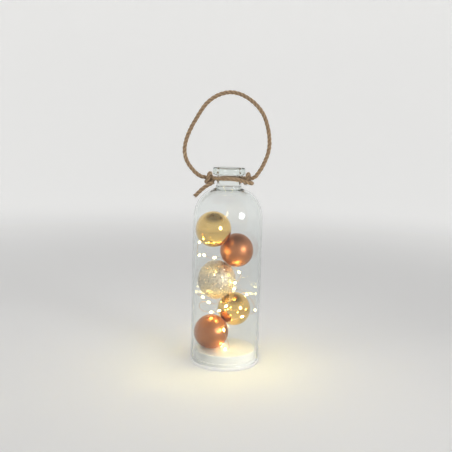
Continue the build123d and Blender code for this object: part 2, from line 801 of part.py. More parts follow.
def neck_turn(side, tail):
    """Stations of one turn: out of its own leg, round the neck, once round the other leg, then the tail.

    side is 1 for the turn that passes behind the neck, and -1 for the one that passes in front.
    """
    stations = [((core_end, 0, eye_z), (-1, 0, 0))]
    for degrees in ring_bearings:
        bearing = math.radians(degrees)
        place = (ring_radius * math.cos(bearing), ring_radius * math.sin(bearing), eye_z)
        stations.append((place, (-math.sin(bearing), math.cos(bearing), 0)))
    standing = (7.0 - hitch_start, hitch_radius + 3 * rope_radius, eye_z - 3.8)
    stations.append((standing, (-0.95, -0.27, -0.16)))
    for quarter in range(5):
        angle = math.radians(90 * quarter)
        place = (
            hitch_pitch * quarter / 4 - hitch_start,
            -hitch_radius * math.sin(angle),
            eye_z - hitch_radius * math.cos(angle),
        )
        climb = hitch_pitch / (2 * math.pi)
        stations.append((place, (climb, -hitch_radius * math.cos(angle), hitch_radius * math.sin(angle))))
    stations += tail
    return [((side * x, side * y, z), (side * a, side * b, c)) for (x, y, z), (a, b, c) in stations]


long_tail = [
    ((4.5 - hitch_start, -9.5, eye_z - 8.3), (-0.80, -0.48, -0.36)),
    ((-5.0 - hitch_start, -12.0, eye_z - 14.2), (-0.75, -0.05, -0.66)),
    ((-16.8 - hitch_start, -12.0, eye_z - 25.9), (-0.70, 0.03, -0.71)),
]
short_tail = [((6.4 - hitch_start, -8.5, eye_z - 6.9), (-0.30, -0.95, -0.05))]
for name, side, tail in (("rope_back_turn", 1, long_tail), ("rope_front_turn", -1, short_tail)):
    with BuildPart() as rope_turn:
        with BuildLine() as turn_path:
            biarc_chain(neck_turn(side, tail))
        with BuildSketch(Plane(origin=turn_path.wire() @ 0, z_dir=turn_path.wire() % 0)):
            Circle(rope_radius)
        sweep()
    print(f"{name}: least gap to itself {least_self_gap(turn_path.wire(), rope_radius):.2f} mm")
    report_tube(name, rope_turn, turn_path.wire(), rope_radius)
    finish(rope_turn, name)

# Rope handle: across, depth and rise above the hitches, from the left hitch over the top to the right one
handle_bends = [
    (-40.0, 0.0, 0.0),
    (-51.5, -0.5, 9.5),
    (-62.5, -1.5, 24.5),
    (-65.0, -2.0, 43.5),
    (-58.0, -1.5, 65.5),
    (-46.5, 0.0, 86.5),
    (-34.0, 1.5, 106.5),
    (-14.0, 2.5, 119.5),
    (8.0, 2.5, 121.5),
    (30.0, 1.5, 110.5),
    (47.0, 0.0, 92.5),
    (55.0, -1.5, 68.5),
    (57.0, -2.0, 42.5),
    (49.5, -1.0, 21.0),
    (42.5, -0.3, 9.0),
    (36.0, 0.0, 0.0),
]
handle_end = core_end + rope_gap
handle_route = [(-handle_end, 0.0, eye_z)]
handle_route += [(x, y, eye_z + rise) for x, y, rise in handle_bends]
handle_route.append((handle_end, 0.0, eye_z))
with BuildPart() as rope_handle:
    with BuildLine() as handle_path:
        FilletPolyline(*handle_route, radius=cord_radii(handle_route))
    with BuildSketch(Plane(origin=handle_path.wire() @ 0, z_dir=handle_path.wire() % 0)):
        Circle(rope_radius)
    sweep()
print("rope_handle: bend radii", [round(r, 1) for r in cord_radii(handle_route)])
report_tube("rope_handle", rope_handle, handle_path.wire(), rope_radius)
finish(rope_handle, "rope_handle")
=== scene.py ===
"""Looks of the glass bottle light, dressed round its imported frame."""
from __future__ import annotations

import logging
import math
import random
from dataclasses import dataclass, field
from enum import Enum
from typing import Callable, Optional, Sequence, Union

import bpy
from mathutils import Matrix, Vector


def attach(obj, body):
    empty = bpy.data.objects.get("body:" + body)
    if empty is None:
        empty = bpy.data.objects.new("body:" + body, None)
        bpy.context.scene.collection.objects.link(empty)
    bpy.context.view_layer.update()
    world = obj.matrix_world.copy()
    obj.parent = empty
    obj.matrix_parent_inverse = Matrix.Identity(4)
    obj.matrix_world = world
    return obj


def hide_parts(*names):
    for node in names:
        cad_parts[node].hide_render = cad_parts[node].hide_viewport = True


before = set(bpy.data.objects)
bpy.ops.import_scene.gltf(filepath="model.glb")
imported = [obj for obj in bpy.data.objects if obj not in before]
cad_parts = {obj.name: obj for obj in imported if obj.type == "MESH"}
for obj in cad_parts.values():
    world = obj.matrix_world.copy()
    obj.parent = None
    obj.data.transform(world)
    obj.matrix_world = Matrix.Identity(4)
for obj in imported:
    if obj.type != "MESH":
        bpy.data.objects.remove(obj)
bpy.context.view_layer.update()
LOG = logging.getLogger("bottle_light")
MM = 0.001
Pair = tuple[float, float]
Point = tuple[float, float, float]
Colour = tuple[float, float, float]
Profile = list[Pair]


class Body(Enum):
    """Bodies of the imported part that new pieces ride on."""

    BASE = "base"
    HANDLE = "handle"


class FarEnd(Enum):
    """What is at a cord's far end."""

    OBJECT = "object"
    BARE = "bare"


class Value:
    """A node's output in Python expressions: each operator adds one Math node."""

    def __init__(self, shader: Shader, socket: bpy.types.NodeSocket) -> None:
        """Wraps a socket of a shader's tree."""
        self.shader = shader
        self.socket = socket

    def _math(self, operation: str, first: Number, second: Number) -> Value:
        """Adds one Math node with two operands."""
        return self.shader.add("ShaderNodeMath", {"operation": operation}, {0: first, 1: second})

    def __add__(self, other: Number) -> Value:
        """Sum."""
        return self._math("ADD", self, other)

    def __radd__(self, other: Number) -> Value:
        """Sum, reflected."""
        return self._math("ADD", other, self)

    def __sub__(self, other: Number) -> Value:
        """Difference."""
        return self._math("SUBTRACT", self, other)

    def __rsub__(self, other: Number) -> Value:
        """Difference, reflected."""
        return self._math("SUBTRACT", other, self)

    def __mul__(self, other: Number) -> Value:
        """Product."""
        return self._math("MULTIPLY", self, other)

    def __rmul__(self, other: Number) -> Value:
        """Product, reflected."""
        return self._math("MULTIPLY", other, self)

    def step(self, low: float, high: float) -> Value:
        """Smooth step from 0 at low to 1 at high."""
        sockets = {"Value": self, "From Min": low, "From Max": high}
        return self.shader.add("ShaderNodeMapRange", {"interpolation_type": "SMOOTHSTEP"}, sockets)


Number = Union[float, Value]


class Shader:
    """Node tree of one material, or of the world."""

    def __init__(self, owner: Union[bpy.types.Material, bpy.types.World]) -> None:
        """Starts an empty tree.

        Args:
            owner: the material or the world that the tree belongs to.
        """
        owner.use_nodes = True
        self.tree = owner.node_tree
        self.tree.nodes.clear()

    def add(
        self,
        kind: str,
        settings: Optional[dict] = None,
        sockets: Optional[dict] = None,
        out: Union[int, str] = 0,
    ) -> Value:
        """Adds any node.

        Args:
            kind: the node's type.
            settings: its properties, set first.
            sockets: values or links of its inputs, by name or number.
            out: the output to give back, by name or number.

        Returns:
            That output.
        """
        node = self.tree.nodes.new(kind)
        for key, setting in (settings or {}).items():
            setattr(node, key, setting)
        for key, value in (sockets or {}).items():
            target = node.inputs[key]
            if isinstance(value, Value):
                self.tree.links.new(value.socket, target)
            elif target.type == "RGBA" and len(value) == 3:
                target.default_value = (*value, 1.0)
            else:
                target.default_value = value
        return Value(self, node.outputs[out] if len(node.outputs) else None)

    def coords(self, output: str = "Object") -> Value:
        """Texture coordinates of the surface."""
        return self.add("ShaderNodeTexCoord", out=output)

    def stretched(self, coords: Value, scale: Point) -> Value:
        """Coordinates scaled along each axis."""
        return self.add("ShaderNodeMapping", sockets={"Vector": coords, "Scale": scale})

    def part(self, coords: Value, axis: str) -> Value:
        """One of the coordinates: X, Y or Z."""
        return self.add("ShaderNodeSeparateXYZ", sockets={"Vector": coords}, out=axis)

    def noise(self, coords: Value, scale: float, detail: float = 3.0, rough: float = 0.5) -> Value:
        """Noise between 0 and 1, with scale features per metre."""
        sockets = {"Vector": coords, "Scale": scale, "Detail": detail, "Roughness": rough}
        return self.add("ShaderNodeTexNoise", sockets=sockets)

    def cells(self, coords: Value, scale: float, out: str) -> Value:
        """Voronoi cells: Distance to the nearest centre, or the Color of the cell."""
        return self.add("ShaderNodeTexVoronoi", sockets={"Vector": coords, "Scale": scale}, out=out)

    def mix(self, factor: Number, first: Union[Colour, Value], second: Union[Colour, Value]) -> Value:
        """Colour between the first, at factor 0, and the second, at factor 1."""
        return self.add("ShaderNodeMix", {"data_type": "RGBA"}, {0: factor, 6: first, 7: second}, out=2)

    def bump(self, height: Value, distance: float, strength: float = 1.0) -> Value:
        """Normal tilted by a height map, whose full range is distance metres."""
        sockets = {"Strength": strength, "Distance": distance, "Height": height}
        return self.add("ShaderNodeBump", sockets=sockets)

    def surface(self, sockets: dict, volume: Optional[Value] = None) -> None:
        """Ends the tree.

        Args:
            sockets: values or links of the Principled surface's sockets.
            volume: what fills the piece, if light is lost in it.
        """
        ends = {"Surface": self.add("ShaderNodeBsdfPrincipled", sockets=sockets)}
        if volume:
            ends["Volume"] = volume
        self.add("ShaderNodeOutputMaterial", sockets=ends)


@dataclass(frozen=True)
class Finish:
    """A finish; its material is made the first time that a piece is dressed in it. Scales are per metre."""

    name: str

    def paint(self, shader: Shader) -> None:
        """Fills the material's tree."""
        raise NotImplementedError

    def material(self) -> bpy.types.Material:
        """Finds or makes the finish's material.

        Returns:
            The material.
        """
        label = self.name + "_finish"
        found = bpy.data.materials.get(label)
        if found is None:
            found = bpy.data.materials.new(label)
            self.paint(Shader(found))
        return found

    def dress(self, piece: bpy.types.Object) -> None:
        """Gives the finish to a piece or a CAD node.

        Args:
            piece: what is dressed.
        """
        if not piece.material_slots:
            piece.data.materials.append(self.material())
        for material_slot in piece.material_slots:
            material_slot.material = self.material()


@dataclass(frozen=True)
class ClearGlass(Finish):
    """Blown clear glass, hardly tinted, with faint ripples and handling marks."""

    tint: Colour = (0.985, 0.992, 0.988)
    smeared: Colour = (0.95, 0.96, 0.95)
    depth_tint: Colour = (0.79, 0.855, 0.825)
    depth_density: float = 45.0
    ior: float = 1.46
    wave_scale: float = 22.0
    wave_stretch: Point = (1.0, 1.0, 0.35)
    wave_height: float = 0.00006
    smear_scale: float = 38.0

    def paint(self, shader: Shader) -> None:
        """Clear transmission with a soft ripple and smears in its polish.

        Args:
            shader: the material's tree.
        """
        place = shader.coords()
        wave = shader.noise(shader.stretched(place, self.wave_stretch), self.wave_scale, detail=1.0)
        smear = shader.noise(place, self.smear_scale, detail=4.0, rough=0.6).step(0.56, 0.78)
        depth = {"Color": self.depth_tint, "Density": self.depth_density}
        shader.surface({
            "Base Color": shader.mix(smear * 0.25, self.tint, self.smeared),
            "Roughness": smear * 0.025 + 0.004,
            "IOR": self.ior,
            "Transmission Weight": 1.0,
            "Normal": shader.bump(wave, self.wave_height),
        }, shader.add("ShaderNodeVolumeAbsorption", sockets=depth))


@dataclass(frozen=True)
class Moulded(Finish):
    """Moulded plastic, rubber or ceramic: one colour with a fine grain and a little soiling."""

    colour: Colour
    soiled: Colour
    roughness: float
    grain: float = 2600.0
    depth: float = 0.000012
    cloud_scale: float = 45.0
    gloss_range: float = 0.14

    def paint(self, shader: Shader) -> None:
        """Grain in the relief and slow clouds in colour and gloss.

        Args:
            shader: the material's tree.
        """
        place = shader.coords()
        cloud = shader.noise(place, self.cloud_scale, detail=4.0, rough=0.55)
        relief = shader.noise(place, self.grain, detail=2.0)
        shader.surface({
            "Base Color": shader.mix(cloud.step(0.45, 0.85), self.colour, self.soiled),
            "Roughness": cloud * self.gloss_range + (self.roughness - self.gloss_range / 2),
            "Normal": shader.bump(relief, self.depth),
        })


@dataclass(frozen=True)
class MetalSkin(Finish):
    """Metal or metallised skin: clouded colour, fine specks and worn polish."""

    colour: Colour
    shade: Colour
    roughness: float
    spread: float = 0.06
    speck: float = 1800.0
    depth: float = 0.000004
    cloud_scale: float = 30.0

    def paint(self, shader: Shader) -> None:
        """Slow clouds in colour, fine specks in gloss and relief.

        Args:
            shader: the material's tree.
        """
        place = shader.coords()
        cloud = shader.noise(place, self.cloud_scale, detail=4.0, rough=0.6)
        specks = shader.noise(place, self.speck, detail=2.0)
        shader.surface({
            "Base Color": shader.mix(cloud.step(0.35, 0.75), self.colour, self.shade),
            "Metallic": 1.0,
            "Roughness": specks * self.spread + cloud * self.spread + (self.roughness - self.spread),
            "Normal": shader.bump(specks, self.depth),
        })


@dataclass(frozen=True)
class Glitter(Finish):
    """Coat of glitter: facets that each catch the light their own way."""

    bright: Colour = (0.86, 0.78, 0.66)
    dull: Colour = (0.46, 0.39, 0.31)
    grain: float = 950.0
    depth: float = 0.0006

    def paint(self, shader: Shader) -> None:
        """Cells of random brightness and height.

        Args:
            shader: the material's tree.
        """
        place = shader.coords()
        facets = shader.cells(place, self.grain, "Color")
        tone = shader.add("ShaderNodeSeparateColor", sockets={"Color": facets})
        edge = shader.cells(place, self.grain, "Distance")
        shader.surface({
            "Base Color": shader.mix(tone, self.dull, self.bright),
            "Metallic": 0.85,
            "Roughness": tone * 0.25 + 0.2,
            "Normal": shader.bump(tone + edge * 0.4, self.depth, strength=0.8),
        })


@dataclass(frozen=True)
class JuteFibre(Finish):
    """Jute yarn: streaks of fibre along each strand, pale and dark, with painted shade that darkens each
    strand away from its crown into the grooves between strands.
    """

    pale: Colour = (0.47, 0.325, 0.19)
    # dark is the colour of the dark fibre streaks and also the painted shade in the grooves between strands
    dark: Colour = (0.16, 0.095, 0.048)
    worn: Colour = (0.6, 0.45, 0.29)
    streak_stretch: Point = (14.0, 130.0, 1.0)
    patch_scale: float = 95.0
    depth: float = 0.00035

    def paint(self, shader: Shader) -> None:
        """Streaks follow the strand's own map: round it in x from its crown, along it in y. Away from the
        crown the colour turns dark, as painted shade in the grooves between strands.

        Args:
            shader: the material's tree.
        """
        laid = shader.coords("UV")
        streak = shader.noise(shader.stretched(laid, self.streak_stretch), 1.0, detail=5.0, rough=0.65)
        patch = shader.noise(shader.coords(), self.patch_scale)
        around = shader.part(laid, "X") * (2 * math.pi)
        crown = shader.add("ShaderNodeMath", {"operation": "COSINE"}, {0: around})
        base = shader.mix(streak.step(0.28, 0.66), self.dark, self.pale)
        worn = shader.mix(patch.step(0.5, 0.78) * crown.step(0.2, 1.0) * 0.6, base, self.worn)
        # painted shade: the base colour darkens from each strand's crown towards the grooves between strands,
        # where shade falls
        shader.surface({
            "Base Color": shader.mix(crown.step(-0.35, 0.75), self.dark, worn),
            "Roughness": 0.9 - streak * 0.1,
            "Sheen Weight": 0.25,
            "Sheen Roughness": 0.5,
            "Normal": shader.bump(streak, self.depth),
        })


@dataclass(frozen=True)
class CellWrap(Finish):
    """Shrink wrap of a dry cell: a dark sleeve, a coppery band at each end and bare metal past it. Metres."""

    dark: Colour = (0.03, 0.05, 0.045)
    coppery: Colour = (0.42, 0.24, 0.11)
    metal: Colour = (0.62, 0.6, 0.56)
    band_edge: Pair = (0.0118, 0.0121)
    sleeve_edge: Pair = (0.0204, 0.0206)
    scuff_scale: float = 420.0
    depth: float = 0.00001

    def paint(self, shader: Shader) -> None:
        """Bands across the cell's length, which lies along X.

        Args:
            shader: the material's tree.
        """
        place = shader.coords()
        away = shader.add("ShaderNodeMath", {"operation": "ABSOLUTE"}, {0: shader.part(place, "X")})
        sleeve = 1 - away.step(*self.sleeve_edge)
        scuff = shader.noise(place, self.scuff_scale, detail=4.0)
        wrap = shader.mix(away.step(*self.band_edge), self.dark, self.coppery)
        shader.surface({
            "Base Color": shader.mix(sleeve, self.metal, wrap),
            "Metallic": 1 - sleeve * 0.65,
            "Roughness": scuff * 0.15 + 0.22,
            "Normal": shader.bump(scuff, self.depth),
        })


@dataclass(frozen=True)
class Laminate(Finish):
    """Circuit board: green mask over copper tracks, with tinned pads."""

    gap: Colour = (0.012, 0.07, 0.03)
    track: Colour = (0.02, 0.16, 0.06)
    tin: Colour = (0.72, 0.72, 0.7)
    track_scale: float = 420.0
    track_gap: float = 0.012
    pad_scale: float = 330.0
    depth: float = 0.00004

    def paint(self, shader: Shader) -> None:
        """Tracks as bricks and pads as spots under the mask.

        Args:
            shader: the material's tree.
        """
        place = shader.coords()
        tracks = shader.add("ShaderNodeTexBrick", sockets={
            "Vector": place,
            "Scale": self.track_scale,
            "Mortar Size": self.track_gap,
            "Color1": (1.0, 1.0, 1.0),
            "Color2": (0.7, 0.7, 0.7),
            "Mortar": (0.0, 0.0, 0.0),
        })
        pads = 1 - shader.cells(place, self.pad_scale, "Distance").step(0.16, 0.2)
        shader.surface({
            "Base Color": shader.mix(pads, shader.mix(tracks, self.gap, self.track), self.tin),
            "Metallic": pads,
            "Roughness": 0.4 - pads * 0.12,
            "Normal": shader.bump(tracks + pads, self.depth),
        })


@dataclass(frozen=True)
class GlowDrop(Finish):
    """Lit resin drop: warm white all through."""

    colour: Colour = (1.0, 0.9, 0.6)
    glow: Colour = (1.0, 0.81, 0.26)
    deep_colour: Colour = (1.0, 0.8, 0.45)
    bright_glow: Colour = (1.0, 0.87, 0.36)
    strength: float = 150.0
    cloud_scale: float = 900.0

    def paint(self, shader: Shader) -> None:
        """Resin with a glow that is a little uneven, as the chip shines through it.

        Args:
            shader: the material's tree.
        """
        cloud = shader.noise(shader.coords(), self.cloud_scale, detail=2.0)
        shader.surface({
            "Base Color": shader.mix(cloud, self.colour, self.deep_colour),
            "Roughness": cloud * 0.1 + 0.12,
            "Emission Color": shader.mix(cloud.step(0.3, 0.7), self.glow, self.bright_glow),
            "Emission Strength": self.strength,
        })


@dataclass(frozen=True)
class PaleSweep(Finish):
    """Studio floor that sweeps up into a softly glowing wall. Metres."""

    colour: Colour = (0.8, 0.795, 0.785)
    clouded: Colour = (0.785, 0.78, 0.77)
    unlit: Colour = (0.0, 0.0, 0.0)
    lit: Colour = (1.0, 1.0, 0.99)
    glow: float = 0.3
    glow_from: float = 0.4
    glow_full: float = 2.2
    cloud_scale: float = 1.5

    def paint(self, shader: Shader) -> None:
        """Even pale paint that glows a little, far from the object.

        Args:
            shader: the material's tree.
        """
        place = shader.coords()
        away = shader.add("ShaderNodeVectorMath", {"operation": "LENGTH"}, {0: place}, out="Value")
        cloud = shader.noise(place, self.cloud_scale, detail=2.0)
        shader.surface({
            "Base Color": shader.mix(cloud, self.colour, self.clouded),
            "Roughness": cloud * 0.1 + 0.72,
            "Specular IOR Level": 0.05,
            "Emission Color": shader.mix(away.step(self.glow_from, self.glow_full), self.unlit, self.lit),
            "Emission Strength": self.glow,
        })


CLEAR_GLASS = ClearGlass("clear_glass")
CLEAR_ADHESIVE = Moulded(
    "clear_adhesive", (0.86, 0.855, 0.835), (0.8, 0.79, 0.76), roughness=0.35, grain=900.0, depth=0.00006
)
WHITE_PLASTIC = Moulded("white_plastic", (0.84, 0.835, 0.815), (0.79, 0.78, 0.75), roughness=0.38)
BLACK_PLASTIC = Moulded("black_plastic", (0.02, 0.02, 0.02), (0.045, 0.045, 0.045), roughness=0.45)
RED_INSULATION = Moulded("red_insulation", (0.5, 0.02, 0.015), (0.38, 0.03, 0.02), roughness=0.42)
BLACK_INSULATION = Moulded("black_insulation", (0.015, 0.015, 0.015), (0.04, 0.04, 0.04), roughness=0.42)
CLEAR_RUBBER = Moulded("clear_rubber", (0.74, 0.74, 0.71), (0.66, 0.65, 0.6), roughness=0.5, grain=1800.0)
RESISTOR_BODY = Moulded("resistor_body", (0.66, 0.5, 0.3), (0.5, 0.36, 0.2), roughness=0.4)
SCREW_STEEL = MetalSkin("screw_steel", (0.6, 0.6, 0.61), (0.48, 0.48, 0.5), roughness=0.34)
CONTACT_NICKEL = MetalSkin("contact_nickel", (0.72, 0.7, 0.65), (0.6, 0.57, 0.5), roughness=0.28)
SWITCH_METAL = MetalSkin("switch_metal", (0.62, 0.62, 0.62), (0.5, 0.5, 0.5), roughness=0.36)
COPPER_WIRE = MetalSkin("copper_wire", (0.84, 0.62, 0.42), (0.7, 0.46, 0.28), roughness=0.3)
SATIN_COPPER = MetalSkin(
    "satin_copper", (0.5, 0.2, 0.085), (0.4, 0.145, 0.06),
    roughness=0.36, spread=0.08, speck=2400.0, depth=0.000006,
)
MIRROR_GOLD = MetalSkin(
    "mirror_gold", (0.87, 0.61, 0.24), (0.81, 0.53, 0.18),
    roughness=0.06, spread=0.025, speck=700.0, depth=0.000002,
)
GOLD_CAP = MetalSkin("gold_cap", (0.8, 0.6, 0.3), (0.66, 0.46, 0.2), roughness=0.26)
CHAMPAGNE_GLITTER = Glitter("champagne_glitter")
GLITTER_FLAKE = MetalSkin(
    "glitter_flake", (0.9, 0.82, 0.68), (0.74, 0.62, 0.46), roughness=0.16, spread=0.05, speck=900.0
)
JUTE_ROPE = JuteFibre("jute_rope")
CELL_WRAP = CellWrap("cell_wrap")
BOARD_LAMINATE = Laminate("board_laminate")
LIGHT_DROP = GlowDrop("light_drop")
LIGHT_CHIP = GlowDrop("light_chip", (1.0, 0.9, 0.5), (1.0, 0.86, 0.35))
PALE_FLOOR = PaleSweep("pale_floor")


def arc(centre: Pair, radii: Union[float, Pair], angles: Pair, steps: int) -> Profile:
    """Points on a circle's or ellipse's arc.

    Args:
        centre: its centre.
        radii: its radius, or its radii along the profile's two axes.
        angles: first and last angle, in degrees.
        steps: number of stretches between them.

    Returns:
        The points, both ends among them.
    """
    wide, high = radii if isinstance(radii, tuple) else (radii, radii)
    points = []
    for step in range(steps + 1):
        angle = math.radians(angles[0] + (angles[1] - angles[0]) * step / steps)
        points.append((centre[0] + wide * math.cos(angle), centre[1] + high * math.sin(angle)))
    return points


def railed(profile: Profile, inset: float) -> Profile:
    """Profile with two more points on each long straight, so that its shading stays true.

    Args:
        profile: the profile's points.
        inset: distance of the new points from the straight's ends.

    Returns:
        The longer profile.
    """
    points = profile[:1]
    for before, after in zip(profile, profile[1:]):
        span = math.dist(before, after)
        if span > 3 * inset:
            for share in (inset / span, 1 - inset / span):
                points.append(tuple(a + (b - a) * share for a, b in zip(before, after)))
        points.append(after)
    return points


class Bench:
    """Modelling by operators, with only the piece in hand selected."""

    merge_within = 1e-6
    sliver = 1e-7

    @staticmethod
    def take(*pieces: bpy.types.Object) -> None:
        """Selects pieces and nothing else.

        Args:
            pieces: the pieces; the first becomes active.
        """
        bpy.ops.object.select_all(action="DESELECT")
        for piece in pieces:
            piece.select_set(True)
        bpy.context.view_layer.objects.active = pieces[0]

    @staticmethod
    def settle(name: str) -> bpy.types.Object:
        """Names the new primitive and moves its place into its mesh.

        Args:
            name: the piece's name.

        Returns:
            The piece.
        """
        piece = bpy.context.active_object
        piece.name = name
        piece.data.name = name
        bpy.ops.object.transform_apply(location=True, rotation=True, scale=True)
        return piece

    @staticmethod
    def hand_in(name: str, data: bpy.types.ID) -> bpy.types.Object:
        """Links a mesh, curve, lamp or camera into the scene as a new object.

        Args:
            name: the object's name.
            data: what it shows.

        Returns:
            The object.
        """
        made = bpy.data.objects.new(name, data)
        bpy.context.scene.collection.objects.link(made)
        return made

    @staticmethod
    def face_outwards() -> None:
        """Turns every face of the piece in edit mode outwards, and leaves that mode."""
        bpy.ops.mesh.select_all(action="SELECT")
        bpy.ops.mesh.normals_make_consistent(inside=False)
        bpy.ops.object.mode_set(mode="OBJECT")

    @classmethod
    def turn(cls, name: str, profile: Profile, segments: int, filled: bool = False) -> bpy.types.Object:
        """Turns a profile about Z by extruding a ring along it.

        Args:
            name: the piece's name.
            profile: radius and height of each ring, in millimetres; a radius of 0 ends in a point.
            segments: vertices in a ring.
            filled: True closes the first ring with a face.

        Returns:
            The turned piece, with its normals outwards.
        """
        bpy.ops.object.select_all(action="DESELECT")
        (radius, height), *rest = profile
        fill = "NGON" if filled else "NOTHING"
        bpy.ops.mesh.primitive_circle_add(
            vertices=segments, radius=radius * MM, fill_type=fill, location=(0.0, 0.0, height * MM)
        )
        piece = cls.settle(name)
        bpy.ops.object.mode_set(mode="EDIT")
        bpy.ops.mesh.select_mode(type="EDGE")
        bpy.ops.mesh.select_all(action="SELECT")
        for next_radius, next_height in rest:
            rise = (0.0, 0.0, (next_height - height) * MM)
            bpy.ops.mesh.extrude_edges_move(TRANSFORM_OT_translate={"value": rise})
            grow = next_radius / radius
            bpy.ops.transform.resize(value=(grow, grow, 1.0), center_override=(0.0, 0.0, 0.0))
            radius, height = next_radius, next_height
        bpy.ops.mesh.select_all(action="SELECT")
        bpy.ops.mesh.remove_doubles(threshold=cls.merge_within)
        bpy.ops.mesh.dissolve_degenerate(threshold=cls.sliver)
        cls.face_outwards()
        return piece

    @classmethod
    def pick(cls, piece: bpy.types.Object, test: Callable[[Vector], bool]) -> None:
        """Opens a piece in edit mode with some of its vertices selected.

        Args:
            piece: the piece.
            test: says by its place whether a vertex is selected.
        """
        cls.take(piece)
        bpy.ops.object.mode_set(mode="EDIT")
        bpy.ops.mesh.select_mode(type="VERT")
        bpy.ops.mesh.select_all(action="DESELECT")
        bpy.ops.object.mode_set(mode="OBJECT")
        for vertex in piece.data.vertices:
            vertex.select = test(vertex.co)
        bpy.ops.object.mode_set(mode="EDIT")

    @classmethod
    def smooth(cls, piece: bpy.types.Object, angle: float) -> None:
        """Shades a piece smooth, apart from edges sharper than an angle in degrees."""
        cls.take(piece)
        bpy.ops.object.shade_smooth_by_angle(angle=math.radians(angle))

    @classmethod
    def place(cls, piece: bpy.types.Object, matrix: Matrix) -> None:
        """Moves a piece and takes the move into its mesh.

        Args:
            piece: the piece.
            matrix: its new place.
        """
        cls.take(piece)
        piece.matrix_world = matrix
        bpy.ops.object.transform_apply(location=True, rotation=True, scale=True)

    @classmethod
    def copies(cls, pattern: bpy.types.Object, name: str, places: Sequence[Matrix]) -> bpy.types.Object:
        """Copies a piece to each place and joins the copies into one; the pattern goes.

        Args:
            pattern: the piece to copy.
            name: the joined piece's name.
            places: where the copies go.

        Returns:
            The joined piece.
        """
        made = []
        for matrix in places:
            mesh = pattern.data.copy()
            mesh.transform(matrix)
            made.append(cls.hand_in(name, mesh))
        bpy.data.objects.remove(pattern)
        cls.take(*made)
        bpy.ops.object.join()
        joined = bpy.context.active_object
        joined.name = name
        joined.data.name = name
        return joined


def settle_piece(
    piece: bpy.types.Object, body: Body, finish: Finish, *nodes: str, slot: str = ""
) -> bpy.types.Object:
    """Dresses a piece, rides it on its body and lets it stand for CAD nodes.

    Args:
        piece: the finished piece.
        body: the body that carries it.
        finish: its finish.
        nodes: the CAD nodes that it stands for.
        slot: not used.

    Returns:
        The piece.
    """
    finish.dress(piece)
    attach(piece, body.value)
    if nodes:
        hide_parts(*nodes)
    LOG.info("%s: %d faces, on %s", piece.name, len(piece.data.polygons), body.value)
    return piece


@dataclass
class GlassBottle:
    """The bottle: straight wall, elliptical shoulder, neck and rolled lip, open at the foot. Millimetres."""

    radius: float = 50.0
    wall: float = 3.0
    foot: float = 4.55
    shoulder: float = 213.0
    reach: float = 35.0
    rise: float = 43.0
    neck: float = 18.0
    neck_round: float = 5.0
    lip: float = 23.3
    lip_from: float = 275.0
    lip_round: float = 3.2
    top: float = 286.0
    edge: float = 1.0
    rail: float = 1.2
    segments: int = 144
    edge_steps: int = 4
    round_steps: int = 7
    shoulder_steps: int = 22

    def neck_seat(self, depth: float) -> tuple[float, float, float]:
        """Where the neck's round meets the shoulder's ellipse, found by halving.

        Args:
            depth: how far in from the outer face, which is 0 or the wall.

        Returns:
            The ellipse's angle there, the height of the round's centre, and the round's angle there.
        """
        reach, rise = self.reach - depth, self.rise - depth
        target = self.neck - depth + self.neck_round
        low, high = 0.0, math.pi / 2
        for _ in range(50):
            angle = (low + high) / 2
            across, up = rise * math.cos(angle), reach * math.sin(angle)
            share = self.neck_round / math.hypot(across, up)
            if self.radius - self.reach + reach * math.cos(angle) + across * share > target:
                low = angle
            else:
                high = angle
        height = self.shoulder + rise * math.sin(angle) + up * share
        return math.degrees(angle), height, 180 + math.degrees(math.atan2(up, across))

    def outside(self) -> Profile:
        """Outer profile.

        Returns:
            Its points, from the foot up to the lip's inner edge.
        """
        angle, seat, turn = self.neck_seat(0.0)
        core = self.lip - self.lip_round
        points = arc((self.radius - self.edge, self.foot + self.edge), self.edge, (-90, 0), self.edge_steps)
        shoulder = (self.radius - self.reach, self.shoulder)
        points += arc(shoulder, (self.reach, self.rise), (0, angle), self.shoulder_steps)
        points += arc((self.neck + self.neck_round, seat), self.neck_round, (turn, 180), self.round_steps)
        points += [(self.neck, self.lip_from)]
        points += arc((core, self.lip_from + self.lip_round), self.lip_round, (-90, 0), self.round_steps)
        points += arc((core, self.top - self.lip_round), self.lip_round, (0, 90), self.round_steps)
        return points

    def inside(self) -> Profile:
        """Inner profile.

        Returns:
            Its points, from the lip down to the foot.
        """
        angle, seat, turn = self.neck_seat(self.wall)
        bore, inner = self.neck - self.wall, self.radius - self.wall
        points = arc((bore + self.edge, self.top - self.edge), self.edge, (90, 180), self.edge_steps)
        points += arc((bore + self.neck_round, seat), self.neck_round, (180, turn), self.round_steps)
        shoulder = (self.radius - self.reach, self.shoulder)
        radii = (self.reach - self.wall, self.rise - self.wall)
        points += arc(shoulder, radii, (angle, 0), self.shoulder_steps)
        points += arc((inner + self.edge, self.foot + self.edge), self.edge, (180, 270), self.edge_steps)
        return points

    def build(self) -> None:
        """Turns the closed profile."""
        profile = self.outside() + self.inside()
        bottle = Bench.turn("bottle_glass", railed(profile + profile[:1], self.rail), self.segments)
        Bench.smooth(bottle, angle=50.0)
        bottle.visible_shadow = False
        settle_piece(bottle, Body.BASE, CLEAR_GLASS, "glass_bottle")


